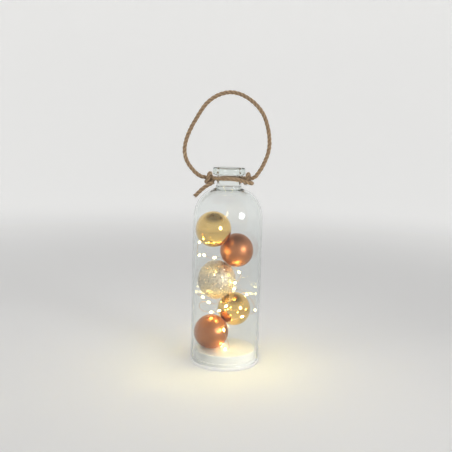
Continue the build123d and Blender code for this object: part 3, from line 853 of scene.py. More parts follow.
@dataclass
class WhiteBase:
    """White housing under and in the glass, and the plain parts in it. Millimetres."""

    flange: float = 50.0
    flange_top: float = 4.5
    flange_round: float = 0.8
    plug: float = 44.5
    plug_top: float = 20.0
    plug_round: float = 1.5
    plug_rings: Pair = (30.0, 8.0)
    shell: float = 2.2
    recess: float = 45.7
    recess_top: float = 3.2
    edge: float = 0.3
    ceiling_edge: float = 0.5
    ceiling_pole: float = 0.05
    rail: float = 0.9
    segments: int = 128

    def outside(self) -> Profile:
        """Profile of the housing's outside.

        Returns:
            Its points, from the recess's foot up to the middle of the plug's top.
        """
        rim, brow = self.flange - self.flange_round, self.flange_top - self.flange_round
        points = [(self.recess, self.edge), (self.recess + self.edge, 0.0)]
        points += arc((rim, self.flange_round), self.flange_round, (-90, 0), 4)
        points += arc((rim, brow), self.flange_round, (0, 90), 4)
        points += [(self.plug + self.edge, self.flange_top), (self.plug, self.flange_top + self.edge)]
        corner = (self.plug - self.plug_round, self.plug_top - self.plug_round)
        points += arc(corner, self.plug_round, (0, 90), 6)
        return points + [(ring, self.plug_top) for ring in (*self.plug_rings, 0.0)]

    def lining(self) -> Profile:
        """Profile of the housing's lining.

        Returns:
            Its points, from the middle of the ceiling down to the recess's foot.
        """
        cavity, ceiling = self.plug - self.shell, self.plug_top - self.shell
        points = [(self.ceiling_pole, ceiling), (cavity - self.ceiling_edge, ceiling)]
        points += [(cavity, ceiling - self.ceiling_edge), (cavity, self.recess_top)]
        return points + [(self.recess, self.recess_top), (self.recess, self.edge)]

    def build(self) -> None:
        """Turns the housing's outside and its lining, and joins them."""
        shell = Bench.turn("base_shell", railed(self.outside(), self.rail), self.segments)
        ceiling = Bench.turn("base_lining", self.lining(), self.segments, filled=True)
        Bench.take(shell, ceiling)
        bpy.ops.object.join()
        bpy.ops.object.mode_set(mode="EDIT")
        bpy.ops.mesh.select_all(action="SELECT")
        bpy.ops.mesh.remove_doubles(threshold=Bench.merge_within)
        Bench.face_outwards()
        Bench.smooth(shell, angle=30.0)
        settle_piece(shell, Body.BASE, WHITE_PLASTIC, "base_housing")

    @staticmethod
    def dress() -> None:
        """Gives the CAD nodes in the base, and the chips in the lights, their finishes."""
        finishes = {
            "bottom_plate": WHITE_PLASTIC,
            "battery_door": WHITE_PLASTIC,
            "glue_bead": CLEAR_ADHESIVE,
            "base_screws": SCREW_STEEL,
            "aaa_cell_1": CELL_WRAP,
            "aaa_cell_2": CELL_WRAP,
            "aaa_cell_3": CELL_WRAP,
            "contact_plates": CONTACT_NICKEL,
            "contact_springs": CONTACT_NICKEL,
            "circuit_board": BOARD_LAMINATE,
            "driver_chip": BLACK_PLASTIC,
            "resistor": RESISTOR_BODY,
            "switch_body": SWITCH_METAL,
            "switch_knob": BLACK_PLASTIC,
            "lead_red": RED_INSULATION,
            "lead_black": BLACK_INSULATION,
            "feed_lead": COPPER_WIRE,
            "wire_bush": CLEAR_RUBBER,
            "led_chips": LIGHT_CHIP,
        }
        for node, finish in finishes.items():
            finish.dress(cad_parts[node])
            LOG.info("%s: dressed in %s", node, finish.name)


@dataclass
class Bauble:
    """One bauble: its size, where round the bottle it leans, where its cap points, and its finish.

    Millimetres and degrees; its centre is found when it is stacked.
    """

    node: str
    radius: float
    bearing: float
    cap_bearing: float
    cap_tilt: float
    finish: Finish
    centre: Vector = field(default_factory=Vector)
    neck: float = 3.6
    neck_height: float = 1.8
    last_ring: float = -88.5
    rings: int = 54
    segments: int = 96

    def stack(self, lower: Sequence[Bauble], inner: float, floor: float, gap: float) -> None:
        """Leans the bauble on the glass and rests it on the base, or on the baubles below it.

        Args:
            lower: the baubles that are stacked already.
            inner: the glass's inner radius.
            floor: height of the base's top.
            gap: least gap to what it touches.
        """
        lean, bearing = inner - self.radius - gap, math.radians(self.bearing)
        x, y, z = lean * math.cos(bearing), lean * math.sin(bearing), floor + self.radius + gap
        for other in lower:
            reach = self.radius + other.radius + gap
            across = math.hypot(x - other.centre.x, y - other.centre.y)
            if across < reach:
                z = max(z, other.centre.z + math.sqrt(reach**2 - across**2))
        self.centre = Vector((x, y, z))

    def matrix(self) -> Matrix:
        """Way from a bauble with its cap on top to this one's place.

        Returns:
            The matrix, in metres.
        """
        bearing, tilt = math.radians(self.cap_bearing), math.radians(self.cap_tilt)
        level = math.cos(tilt)
        aim = Vector((level * math.cos(bearing), level * math.sin(bearing), math.sin(tilt)))
        return Matrix.Translation(self.centre * MM) @ aim.to_track_quat("Z", "Y").to_matrix().to_4x4()

    def build(self) -> None:
        """Turns the blown skin with its short neck."""
        start = math.degrees(math.acos(self.neck / self.radius))
        profile = [(self.neck, self.radius + self.neck_height)]
        profile += arc((0.0, 0.0), self.radius, (start, self.last_ring), self.rings)
        profile += [(0.0, -self.radius)]
        skin = Bench.turn(self.node + "_skin", profile, self.segments, filled=True)
        Bench.place(skin, self.matrix())
        Bench.smooth(skin, angle=35.0)
        settle_piece(skin, Body.BASE, self.finish, self.node)


@dataclass
class BaubleStack:
    """The five baubles, their crimped caps, wire loops and glitter flakes. Millimetres.

    inner is the glass's inner radius, and floor the height of the base's top.
    """

    inner: float
    floor: float
    gap: float = 0.3
    cap_radius: float = 4.7
    cap_height: float = 2.65
    cap_wall: float = 0.25
    cap_gap: float = 0.15
    flutes: int = 18
    flute_flare: float = 1.09
    flute_top: float = 0.6
    loop_radius: float = 2.2
    loop_wire: float = 0.45
    loop_leg: float = 1.6
    flakes: int = 4000
    flake_seed: int = 28
    flake_radius: float = 0.5
    flake_sizes: Pair = (0.7, 1.6)
    flake_wall: float = 0.07
    flake_tilt: float = 0.34
    flake_stray: float = 0.02
    flake_lift: Pair = (0.1, 0.35)
    rubbed_gap: float = 0.8
    capped_share: float = 0.975

    def baubles(self) -> list[Bauble]:
        """Stacks the baubles.

        Returns:
            The baubles, from the lowest up.
        """
        stack: list[Bauble] = []
        for bauble in (
            Bauble("bauble_copper_low", 25.0, -160.0, 90.0, 10.0, SATIN_COPPER),
            Bauble("bauble_gold_low", 25.0, 54.0, 140.0, -40.0, MIRROR_GOLD),
            Bauble("bauble_glitter", 28.0, 142.0, 70.0, 40.0, CHAMPAGNE_GLITTER),
            Bauble("bauble_copper_high", 25.0, 48.0, 130.0, 40.0, SATIN_COPPER),
            Bauble("bauble_gold_high", 26.0, -176.0, 70.0, 20.0, MIRROR_GOLD),
        ):
            bauble.stack(stack, self.inner, self.floor, self.gap)
            stack.append(bauble)
        return stack

    def cap(self) -> bpy.types.Object:
        """Crimped cap that stands on height 0: fluted skirt, rounded brow and a ringed crown.

        Returns:
            The cap, as a pattern.
        """
        outer, top = self.cap_radius, self.cap_height
        profile = [(outer + 0.15, -0.35), (outer, 0.2), (outer - 0.1, 1.3)]
        profile += [(outer - 0.35, top - 0.35), (outer - 0.8, top)]
        profile += [(2.9, top), (2.6, top + 0.25), (2.2, top + 0.25), (1.9, top), (0.0, top)]
        cap = Bench.turn("cap_pattern", profile, 2 * self.flutes)

        def on_ridge(place: Vector) -> bool:
            """True for every second vertex of the skirt."""
            turn = math.atan2(place.y, place.x) * self.flutes / math.pi
            return round(turn) % 2 == 0 and place.z < self.flute_top * MM

        Bench.pick(cap, on_ridge)
        flare = (self.flute_flare, self.flute_flare, 1.0)
        bpy.ops.transform.resize(value=flare, center_override=(0.0, 0.0, 0.0))
        bpy.ops.object.mode_set(mode="OBJECT")
        shell = cap.modifiers.new("wall", "SOLIDIFY")
        shell.thickness = self.cap_wall * MM
        shell.offset = -1.0
        Bench.take(cap)
        bpy.ops.object.modifier_apply(modifier=shell.name)
        Bench.smooth(cap, angle=45.0)
        return cap

    def loop(self) -> bpy.types.Object:
        """Wire loop that stands on height 0: half a ring on two legs.

        Returns:
            The loop, as a pattern.
        """
        bpy.ops.object.select_all(action="DESELECT")
        bpy.ops.mesh.primitive_torus_add(
            major_radius=self.loop_radius * MM,
            minor_radius=self.loop_wire * MM,
            major_segments=32,
            minor_segments=10,
            rotation=(math.pi / 2, 0.0, 0.0),
        )
        loop = Bench.settle("loop_pattern")
        leg = self.loop_leg * MM
        bpy.ops.object.mode_set(mode="EDIT")
        bpy.ops.mesh.select_mode(type="VERT")
        bpy.ops.mesh.select_all(action="SELECT")
        bpy.ops.mesh.bisect(plane_co=(0, 0, 0), plane_no=(0, 0, 1), clear_inner=True)
        bpy.ops.mesh.select_all(action="DESELECT")
        bpy.ops.mesh.select_non_manifold()
        bpy.ops.mesh.extrude_edges_move(TRANSFORM_OT_translate={"value": (0.0, 0.0, -leg)})
        bpy.ops.mesh.select_all(action="SELECT")
        bpy.ops.transform.translate(value=(0.0, 0.0, leg))
        bpy.ops.mesh.select_all(action="DESELECT")
        bpy.ops.mesh.select_non_manifold()
        bpy.ops.mesh.fill_holes(sides=0)
        Bench.face_outwards()
        Bench.smooth(loop, angle=60.0)
        return loop

    def flake(self) -> bpy.types.Object:
        """One hexagonal flake of unit size.

        Returns:
            The flake, as a pattern.
        """
        bpy.ops.object.select_all(action="DESELECT")
        bpy.ops.mesh.primitive_circle_add(vertices=6, radius=1.0, fill_type="NGON")
        flake = Bench.settle("flake_pattern")
        bpy.ops.object.mode_set(mode="EDIT")
        bpy.ops.mesh.select_all(action="SELECT")
        lift = {"value": (0.0, 0.0, self.flake_wall / self.flake_radius)}
        bpy.ops.mesh.extrude_region_move(TRANSFORM_OT_translate=lift)
        Bench.face_outwards()
        return flake

    def flake_coat(self, bauble: Bauble, others: Sequence[Bauble]) -> bpy.types.Object:
        """Coat of loose flakes, each tilted its own way on the bauble's skin.

        Args:
            bauble: the bauble to coat.
            others: its neighbours, where it is rubbed bare.

        Returns:
            The coat, as one piece.
        """
        draw = random.Random(self.flake_seed)
        golden_turn = math.pi * (3 - math.sqrt(5))
        small, large = self.flake_sizes
        axis = bauble.matrix().to_3x3() @ Vector((0.0, 0.0, 1.0))
        pattern = self.flake()
        corners = [vertex.co.copy() for vertex in pattern.data.vertices]
        sides = [tuple(face.vertices) for face in pattern.data.polygons]
        bpy.data.objects.remove(pattern)
        points, faces = [], []
        for number in range(self.flakes):
            height = 1 - 2 * (number + 0.5) / self.flakes
            around = number * golden_turn + draw.uniform(-self.flake_stray, self.flake_stray)
            level = math.sqrt(1 - height * height)
            out = Vector((level * math.cos(around), level * math.sin(around), height))
            if out.dot(axis) > self.capped_share:
                continue
            tilt = Vector([draw.gauss(0, self.flake_tilt) for _ in range(3)])
            turn = (out + tilt).to_track_quat("Z", "Y").to_matrix()
            spot = bauble.centre * MM + out * (bauble.radius + draw.uniform(*self.flake_lift)) * MM
            size = self.flake_radius * (small + (large - small) * draw.random() ** 3) * MM
            if any((spot - o.centre * MM).length < (o.radius + self.rubbed_gap) * MM for o in others):
                continue
            first = len(points)
            points.extend(spot + turn @ (corner * size) for corner in corners)
            faces.extend(tuple(first + corner for corner in side) for side in sides)
        mesh = bpy.data.meshes.new("glitter_flakes")
        mesh.from_pydata(points, [], faces)
        return Bench.hand_in("glitter_flakes", mesh)

    def build(self) -> None:
        """Builds the baubles with their caps, loops and glitter."""
        stack = self.baubles()
        for bauble in stack:
            bauble.build()
            if isinstance(bauble.finish, Glitter):
                others = [other for other in stack if other is not bauble]
                coat = self.flake_coat(bauble, others)
                settle_piece(coat, Body.BASE, GLITTER_FLAKE, slot=bauble.finish.name)
        seats, heads = [], []
        for bauble in stack:
            seat = math.sqrt(bauble.radius**2 - self.cap_radius**2) + self.cap_gap
            seats.append(bauble.matrix() @ Matrix.Translation((0.0, 0.0, seat * MM)))
            heads.append(bauble.matrix() @ Matrix.Translation((0.0, 0.0, (seat + self.cap_height) * MM)))
        settle_piece(Bench.copies(self.cap(), "caps", seats), Body.BASE, GOLD_CAP, "bauble_caps")
        settle_piece(Bench.copies(self.loop(), "cap_loops", heads), Body.BASE, GOLD_CAP, "bauble_loops")


class Line:
    """A cord's smooth centre line: points read evenly from a NURBS spline with the route's points."""

    def __init__(self, route: Sequence[Union[Point, Vector]], step: float) -> None:
        """Reads the line of a route.

        Args:
            route: the control points, in millimetres.
            step: distance between the points read, in millimetres.
        """
        self.points = self._even(self._spline(route), step * MM)
        self.lengths = [0.0]
        for before, after in zip(self.points, self.points[1:]):
            self.lengths.append(self.lengths[-1] + (after - before).length)
        self.frames = self._frames()

    @staticmethod
    def _spline(route: Sequence[Union[Point, Vector]]) -> list[Vector]:
        """Draws the spline.

        Args:
            route: its control points, in millimetres.

        Returns:
            Its points in metres, as Blender evaluates it.
        """
        curve = bpy.data.curves.new("route", "CURVE")
        curve.dimensions = "3D"
        spline = curve.splines.new("NURBS")
        spline.points.add(len(route) - 1)
        for control, point in zip(spline.points, route):
            control.co = (*(Vector(point) * MM), 1.0)
        spline.order_u = 3
        spline.use_endpoint_u = True
        spline.resolution_u = 16
        carrier = Bench.hand_in("route", curve)
        mesh = bpy.data.meshes.new_from_object(carrier)
        points = [vertex.co.copy() for vertex in mesh.vertices]
        bpy.data.objects.remove(carrier)
        bpy.data.curves.remove(curve)
        bpy.data.meshes.remove(mesh)
        return points

    @staticmethod
    def _even(dense: Sequence[Vector], step: float) -> list[Vector]:
        """Walks a line in even steps.

        Args:
            dense: the line's points.
            step: about how long a step is.

        Returns:
            The even points, both ends kept.
        """
        total = sum((b - a).length for a, b in zip(dense, dense[1:]))
        count = max(2, round(total / step))
        wanted = [total * k / count for k in range(count + 1)]
        points, walked, place = [], 0.0, 0
        for before, after in zip(dense, dense[1:]):
            span = (after - before).length
            while place < count and wanted[place] <= walked + span:
                points.append(before.lerp(after, (wanted[place] - walked) / span if span else 0.0))
                place += 1
            walked += span
        points.append(dense[-1].copy())
        return points

    def _frames(self) -> list[tuple[Vector, Vector, Vector]]:
        """Carries a frame along the line without twist.

        Returns:
            The heading and two cross directions at each point.
        """
        headings = []
        for number in range(len(self.points)):
            before = self.points[max(number - 1, 0)]
            after = self.points[min(number + 1, len(self.points) - 1)]
            headings.append((after - before).normalized())
        side = headings[0].orthogonal().normalized()
        frames = []
        for heading in headings:
            side = (side - heading * side.dot(heading)).normalized()
            frames.append((heading, side, heading.cross(side)))
        return frames

    @property
    def length(self) -> float:
        """The line's length, in metres."""
        return self.lengths[-1]


@dataclass(frozen=True)
class Lay:
    """Strands laid together into a cord. Millimetres; ease is how fast a lump swells and fades."""

    strands: int
    strand_radius: float
    spread: float
    pitch: float
    sides: int
    lumps: float = 0.0
    ease: float = 0.35

    def strand_rings(self, line: Line, strand: int, draw: random.Random) -> list[list[Vector]]:
        """Rings of points round one strand.

        Args:
            line: the cord's centre line.
            strand: the strand's number.
            draw: source of its unevenness.

        Returns:
            One ring for each point of the line.
        """
        phase = 2 * math.pi * strand / self.strands
        slope = math.atan(2 * math.pi * self.spread / self.pitch)
        bulge = 1.0
        rings = []
        for point, run, (heading, side, cross) in zip(line.points, line.lengths, line.frames):
            angle = phase + 2 * math.pi * run / (self.pitch * MM)
            out = side * math.cos(angle) + cross * math.sin(angle)
            around = cross * math.cos(angle) - side * math.sin(angle)
            bulge += (1.0 + draw.gauss(0, self.lumps) - bulge) * self.ease
            centre = point + out * self.spread * MM
            tangent = heading * math.cos(slope) + around * math.sin(slope)
            across = tangent.cross(out)
            ring = []
            for corner in range(self.sides):
                turn = 2 * math.pi * corner / self.sides
                outward = out * math.cos(turn) + across * math.sin(turn)
                ring.append(centre + outward * self.strand_radius * bulge * MM)
            rings.append(ring)
        return rings


@dataclass(frozen=True)
class Fuzz:
    """Loose fibres that stand off a rope, and the fray of its bare end. Millimetres."""

    per_metre: float = 3200.0
    length: Pair = (1.5, 3.6)
    radius: float = 0.065
    root_share: float = 0.85
    swirl: Pair = (0.1, 0.7)
    tilt: float = 0.15
    lift: float = 1.2
    taper: float = 0.7
    fray: int = 16
    fray_length: Pair = (1.6, 3.2)
    fray_radius: float = 0.156
    fray_spread: float = 0.35
    fray_root: float = 0.5


class CordMesh:
    """Mesh of a laid cord, with a map that runs round each strand in u and along it in v."""

    map_scale = 10.0
    strand_offset = 3.0
    fibre_shares = (0.0, 0.5, 1.0)
    fibre_sides = 3

    def __init__(self, name: str, line: Line, lay: Lay, seed: int) -> None:
        """Starts a cord with its laid strands.

        Args:
            name: the piece's name.
            line: its centre line.
            lay: how its strands are laid.
            seed: of its unevenness.
        """
        self.name = name
        self.line = line
        self.lay = lay
        self.draw = random.Random(seed)
        self.points: list[Vector] = []
        self.faces: list[tuple[int, ...]] = []
        self.maps: list[list[Pair]] = []
        for strand in range(lay.strands):
            rings = lay.strand_rings(line, strand, self.draw)
            self.tube(rings, line.lengths, self.strand_offset * strand)

    def tube(self, rings: Sequence[Sequence[Vector]], runs: Sequence[float], u_from: float) -> None:
        """Adds one closed tube.

        Args:
            rings: its rings of points.
            runs: the distance along the cord of each ring, in metres.
            u_from: where its map begins.
        """
        first, sides = len(self.points), len(rings[0])
        heights = [run * self.map_scale for run in runs]
        for ring in rings:
            self.points.extend(ring)
        for level, (low, high) in enumerate(zip(heights, heights[1:])):
            start = first + level * sides
            for corner in range(sides):
                here, there = start + corner, start + (corner + 1) % sides
                self.faces.append((here, there, there + sides, here + sides))
                left, right = u_from + corner / sides, u_from + (corner + 1) / sides
                self.maps.append([(left, low), (right, low), (right, high), (left, high)])
        last = first + (len(rings) - 1) * sides
        self.faces.append(tuple(range(first + sides - 1, first - 1, -1)))
        self.faces.append(tuple(range(last, last + sides)))
        self.maps += [[(u_from, height)] * sides for height in (heights[0], heights[-1])]

    def fibre(
        self, number: int, root: Vector, aim: Vector, lift: Vector, radius: float, taper: float
    ) -> None:
        """Adds one fine curved fibre.

        Args:
            number: the point of the line that it stands by.
            root: where it starts.
            aim: its length and heading, in metres.
            lift: how far its tip bends away.
            radius: its radius in metres at the root.
            taper: share of that radius which it loses towards its tip.
        """
        side = aim.orthogonal().normalized()
        cross = aim.normalized().cross(side)
        rings = []
        for share in self.fibre_shares:
            centre = root + aim * share + lift * share * share
            ring = []
            for corner in range(self.fibre_sides):
                turn = 2 * math.pi * corner / self.fibre_sides
                outward = side * math.cos(turn) + cross * math.sin(turn)
                ring.append(centre + outward * radius * (1.0 - taper * share))
            rings.append(ring)
        runs = [self.line.lengths[number] + aim.length * share for share in self.fibre_shares]
        self.tube(rings, runs, self.draw.random())

    def fuzz(self, fuzz: Fuzz, frayed: bool) -> None:
        """Adds loose fibres all along, and a fray at a bare far end.

        Args:
            fuzz: how the fibres are.
            frayed: True where the far end is bare.
        """
        draw, line = self.draw, self.line
        reach = (self.lay.spread + self.lay.strand_radius * fuzz.root_share) * MM
        for _ in range(round(fuzz.per_metre * line.length)):
            number = draw.randrange(2, len(line.points) - 2)
            heading, side, cross = line.frames[number]
            angle = draw.uniform(0, 2 * math.pi)
            out = side * math.cos(angle) + cross * math.sin(angle)
            swirl = cross * math.cos(angle) - side * math.sin(angle)
            aim = heading * draw.choice((-1, 1)) + swirl * draw.uniform(*fuzz.swirl) + out * fuzz.tilt
            aim = aim.normalized() * draw.uniform(*fuzz.length) * MM
            lift = out * fuzz.lift * draw.random() ** 2 * MM
            root = line.points[number] + out * reach
            self.fibre(number, root, aim, lift, fuzz.radius * MM, fuzz.taper)
        end = len(line.points) - 1
        heading, side, cross = line.frames[end]
        for _ in range(fuzz.fray if frayed else 0):
            angle, share = draw.uniform(0, 2 * math.pi), draw.random() ** 0.5
            out = side * math.cos(angle) + cross * math.sin(angle)
            root = line.points[end] + out * share * reach - heading * fuzz.fray_root * MM
            aim = (heading + out * fuzz.fray_spread * share).normalized()
            aim = aim * draw.uniform(*fuzz.fray_length) * MM
            self.fibre(end, root, aim, out * share * MM, fuzz.fray_radius * MM, fuzz.taper)

    def make(self) -> bpy.types.Object:
        """Makes the piece from what was added.

        Returns:
            The piece.
        """
        mesh = bpy.data.meshes.new(self.name)
        mesh.from_pydata(self.points, [], self.faces)
        layer = mesh.uv_layers.new(name="lay")
        flat = [value for corners in self.maps for corner in corners for value in corner]
        layer.data.foreach_set("uv", flat)
        piece = Bench.hand_in(self.name, mesh)
        Bench.smooth(piece, angle=75.0)
        return piece


@dataclass
class RopeHandle:
    """The rope: its loop over the bottle, and two turns round the neck, each hitched round a leg of the loop.

    Millimetres; eye is the height of the hitches, and routes are given from it.
    """

    diameter: float = 6.0
    lay: Lay = Lay(strands=3, strand_radius=1.47, spread=1.53, pitch=19.0, sides=10, lumps=0.09)
    fuzz: Fuzz = Fuzz()
    step: float = 1.1
    eye: float = 270.5
    core_end: float = 28.5
    end_gap: float = 0.3
    ring: float = 21.9
    ring_bearings: tuple[float, ...] = (35.0, 62.0, 89.0)
    hitch_start: float = 31.0
    hitch_radius: float = 6.5
    hitch_pitch: float = 7.0
    hitch_steps: int = 12

    def loop_route(self) -> list[Point]:
        """Route of the loop.

        Returns:
            Its control points, from the left hitch over the top to the right one.
        """
        end = self.core_end + self.end_gap
        route = [
            (-end, 0.0, 0.0),
            (-40.0, 0.0, 0.0), (-51.5, -0.5, 9.5), (-62.5, -1.5, 24.5), (-65.0, -2.0, 43.5),
            (-58.0, -1.5, 65.5), (-46.5, 0.0, 86.5), (-34.0, 1.5, 106.5), (-14.0, 2.5, 119.5),
            (8.0, 2.5, 121.5), (30.0, 1.5, 110.5), (47.0, 0.0, 92.5), (55.0, -1.5, 68.5),
            (57.0, -2.0, 42.5), (49.5, -1.0, 21.0), (42.5, -0.3, 9.0), (36.0, 0.0, 0.0),
            (end, 0.0, 0.0),
        ]
        return [(x, y, self.eye + rise) for x, y, rise in route]

    def turn_route(self, side: int, tail: Sequence[Point]) -> list[Point]:
        """Route of one turn: out of its own leg, round the neck, round the other leg, then the tail.

        Args:
            side: 1 for the turn behind the neck, -1 for the one in front.
            tail: the tail's points.

        Returns:
            Its control points.
        """
        route = [(self.core_end, 0.0, 0.0), (24.3, 0.0, 0.0)]
        for bearing in self.ring_bearings:
            angle = math.radians(bearing)
            route.append((self.ring * math.cos(angle), self.ring * math.sin(angle), 0.0))
        route += [(-9.2, 20.3, -0.4), (-18.0, 17.6, -2.2), (-26.0, 15.2, -4.4)]
        route += [(-32.4, 12.4, -5.8), (-33.0, 6.0, -6.4)]
        for step in range(self.hitch_steps + 1):
            angle = 2 * math.pi * step / self.hitch_steps
            across = self.hitch_pitch * step / self.hitch_steps - self.hitch_start
            deep, rise = -self.hitch_radius * math.sin(angle), -self.hitch_radius * math.cos(angle)
            route.append((across, deep, rise))
        route += tail
        return [(side * x, side * y, self.eye + rise) for x, y, rise in route]

    def build(self) -> None:
        """Lays the three ropes."""
        long_tail = [
            (-23.2, -3.6, -6.5), (-23.6, -7.4, -7.1), (-27.0, -10.2, -8.6), (-32.5, -11.7, -11.7),
            (-38.5, -12.2, -16.6), (-43.5, -12.1, -21.6), (-47.8, -12.0, -25.9),
        ]
        short_tail = [(-23.5, -3.2, -6.6), (-23.9, -6.2, -6.7), (-24.6, -8.5, -6.9)]
        behind, front = self.turn_route(1, long_tail), self.turn_route(-1, short_tail)
        self.lay_rope("rope_loop", self.loop_route(), Body.HANDLE, "rope_handle", FarEnd.OBJECT, seed=27)
        self.lay_rope("rope_back", behind, Body.BASE, "rope_back_turn", FarEnd.BARE, seed=39)
        self.lay_rope("rope_front", front, Body.BASE, "rope_front_turn", FarEnd.BARE, seed=36)

    def lay_rope(
        self, name: str, route: Sequence[Point], body: Body, node: str, far_end: FarEnd, seed: int
    ) -> None:
        """Args:
            name: the piece's name.
            route: its control points.
            body: the body that carries it.
            node: the CAD node that it stands for.
            far_end: what is at its end.
            seed: of its unevenness.
        """
        line = Line(route, self.step)
        rope = CordMesh(name, line, self.lay, seed)
        rope.fuzz(self.fuzz, far_end is FarEnd.BARE)
        piece = settle_piece(rope.make(), body, JUTE_ROPE, node)


@dataclass
class LightString:
    """The light wire and its resin drops. Millimetres; floor is the height of the base's top."""

    floor: float
    wire: float = 0.8
    lay: Lay = Lay(strands=2, strand_radius=0.195, spread=0.205, pitch=4.4, sides=6)
    seed: int = 7
    step: float = 0.55
    outlet: Pair = (-5.0, 24.0)
    outlet_depth: float = 2.2
    outlet_rise: float = 5.0
    drop_length: float = 5.0
    drop_radius: float = 1.6
    drop_end: float = 0.42
    drop_tip: float = 0.05
    drop_rings: int = 10
    drop_fullness: float = 0.8
    drop_segments: int = 14

    def stops(self) -> list[tuple[Vector, bool]]:
        """The wire's route, with heights above the base's top in the list.

        Returns:
            Its points, each with True where the run that starts there holds a light in its middle.
        """
        lit, plain = True, False
        route = [
            (*self.outlet, -self.outlet_depth, plain), (*self.outlet, self.outlet_rise, plain),
            (-5.0, 20.0, 11.0, plain), (-4.5, 13.5, 10.5, plain), (-4.0, 9.0, 4.5, lit),
            (-3.5, 0.5, 2.0, plain), (-2.0, -8.0, 1.9, lit), (4.0, -24.0, 2.3, plain),
            (7.0, -33.0, 9.5, plain), (4.0, -34.5, 21.0, plain), (-1.0, -31.0, 30.0, lit),
            (-2.5, -26.0, 39.0, plain), (5.0, -24.5, 46.5, plain), (17.5, -23.0, 50.0, lit),
            (30.5, -17.0, 54.5, plain), (39.0, -12.0, 55.0, plain), (43.2, -5.5, 55.5, lit),
            (44.5, 4.0, 58.5, plain), (42.5, 14.0, 64.0, plain), (36.0, 25.0, 70.5, lit),
            (28.0, 35.0, 75.0, plain), (18.0, 41.0, 77.5, lit), (6.0, 44.0, 78.0, plain),
            (-6.0, 44.0, 77.0, lit), (-18.0, 41.0, 75.5, plain), (-29.0, 34.0, 74.0, lit),
            (-38.0, 24.0, 73.5, plain), (-43.0, 12.0, 75.0, plain), (-43.5, 1.0, 78.0, plain),
            (-37.5, -9.0, 79.0, lit), (-29.0, -15.0, 76.2, plain), (-20.5, -18.0, 78.0, plain),
            (-13.5, -17.5, 77.0, plain), (-10.0, -16.0, 72.5, plain), (-13.0, -14.5, 68.0, plain),
            (-19.0, -14.0, 69.0, lit), (-30.5, -14.0, 72.5, plain), (-37.0, -13.0, 70.0, plain),
            (-39.0, -11.0, 63.5, plain), (-34.5, -10.5, 57.5, plain), (-26.5, -12.0, 55.5, lit),
            (-15.0, -15.5, 56.5, lit), (-3.5, -20.5, 63.0, lit), (4.5, -18.5, 71.0, plain),
            (6.0, -17.5, 80.5, plain), (4.5, -16.5, 89.0, plain), (7.5, -12.0, 96.5, lit),
            (17.5, -3.0, 101.5, plain), (22.5, -2.5, 109.5, lit), (13.5, -9.5, 119.5, plain),
            (3.0, -12.0, 126.0, plain), (-6.0, -15.0, 135.0, plain), (-12.0, -19.5, 139.5, lit),
            (-23.0, -24.5, 137.0, plain), (-28.5, -21.5, 140.0, lit), (-36.0, -15.0, 142.0, lit),
            (-43.0, -6.0, 136.5, plain), (-44.0, 3.0, 140.0, plain), (-43.5, 1.5, 149.0, plain),
            (-42.3, -6.5, 153.5, plain), (-40.0, -16.5, 156.5, lit), (-37.2, -24.6, 163.3, plain),
        ]
        return [(Vector((x, y, self.floor + height)), light) for x, y, height, light in route]

    def drop(self) -> bpy.types.Object:
        """One resin drop along Z: a slim lens with blunt ends.

        Returns:
            The drop, as a pattern.
        """
        half = self.drop_length / 2
        profile = [(self.drop_end, -half)]
        for ring in range(1, self.drop_rings):
            share = ring / self.drop_rings
            swell = math.sin(math.pi * share) ** self.drop_fullness
            radius = self.drop_end + (self.drop_radius - self.drop_end) * swell
            profile.append((radius, self.drop_length * share - half))
        profile += [(self.drop_end, half), (0.0, half + self.drop_tip)]
        drop = Bench.turn("drop_pattern", profile, self.drop_segments, filled=True)
        Bench.smooth(drop, angle=60.0)
        return drop

    def build(self) -> None:
        stops = self.stops()
        line = Line([place for place, _ in stops], self.step)
        pair = CordMesh("light_pair", line, self.lay, self.seed)
        wire = settle_piece(pair.make(), Body.BASE, COPPER_WIRE, "light_wire")
        places = []
        for (start, light), (end, _) in zip(stops, stops[1:]):
            if light:
                turn = (end - start).to_track_quat("Z", "Y").to_matrix().to_4x4()
                places.append(Matrix.Translation((start + end) / 2 * MM) @ turn)
        drops = Bench.copies(self.drop(), "light_drops", places)
        settle_piece(drops, Body.BASE, LIGHT_DROP, "led_drops")


@dataclass(frozen=True)
class Lamp:
    """One round area lamp; mirrored is True where gloss and glass show it. Metres, watts and degrees."""

    name: str
    place: Point
    target: Point
    size: float
    power: float
    spread: float
    mirrored: bool = False

    def hang(self) -> None:
        """Adds the lamp to the scene."""
        data = bpy.data.lights.new(self.name, "AREA")
        data.shape = "DISK"
        data.size = self.size
        data.energy = self.power
        data.spread = math.radians(self.spread)
        lamp = Bench.hand_in(self.name, data)
        lamp.visible_glossy = self.mirrored
        lamp.visible_transmission = self.mirrored
        aim = (Vector(self.target) - Vector(self.place)).to_track_quat("-Z", "Y").to_matrix().to_4x4()
        lamp.matrix_world = Matrix.Translation(self.place) @ aim


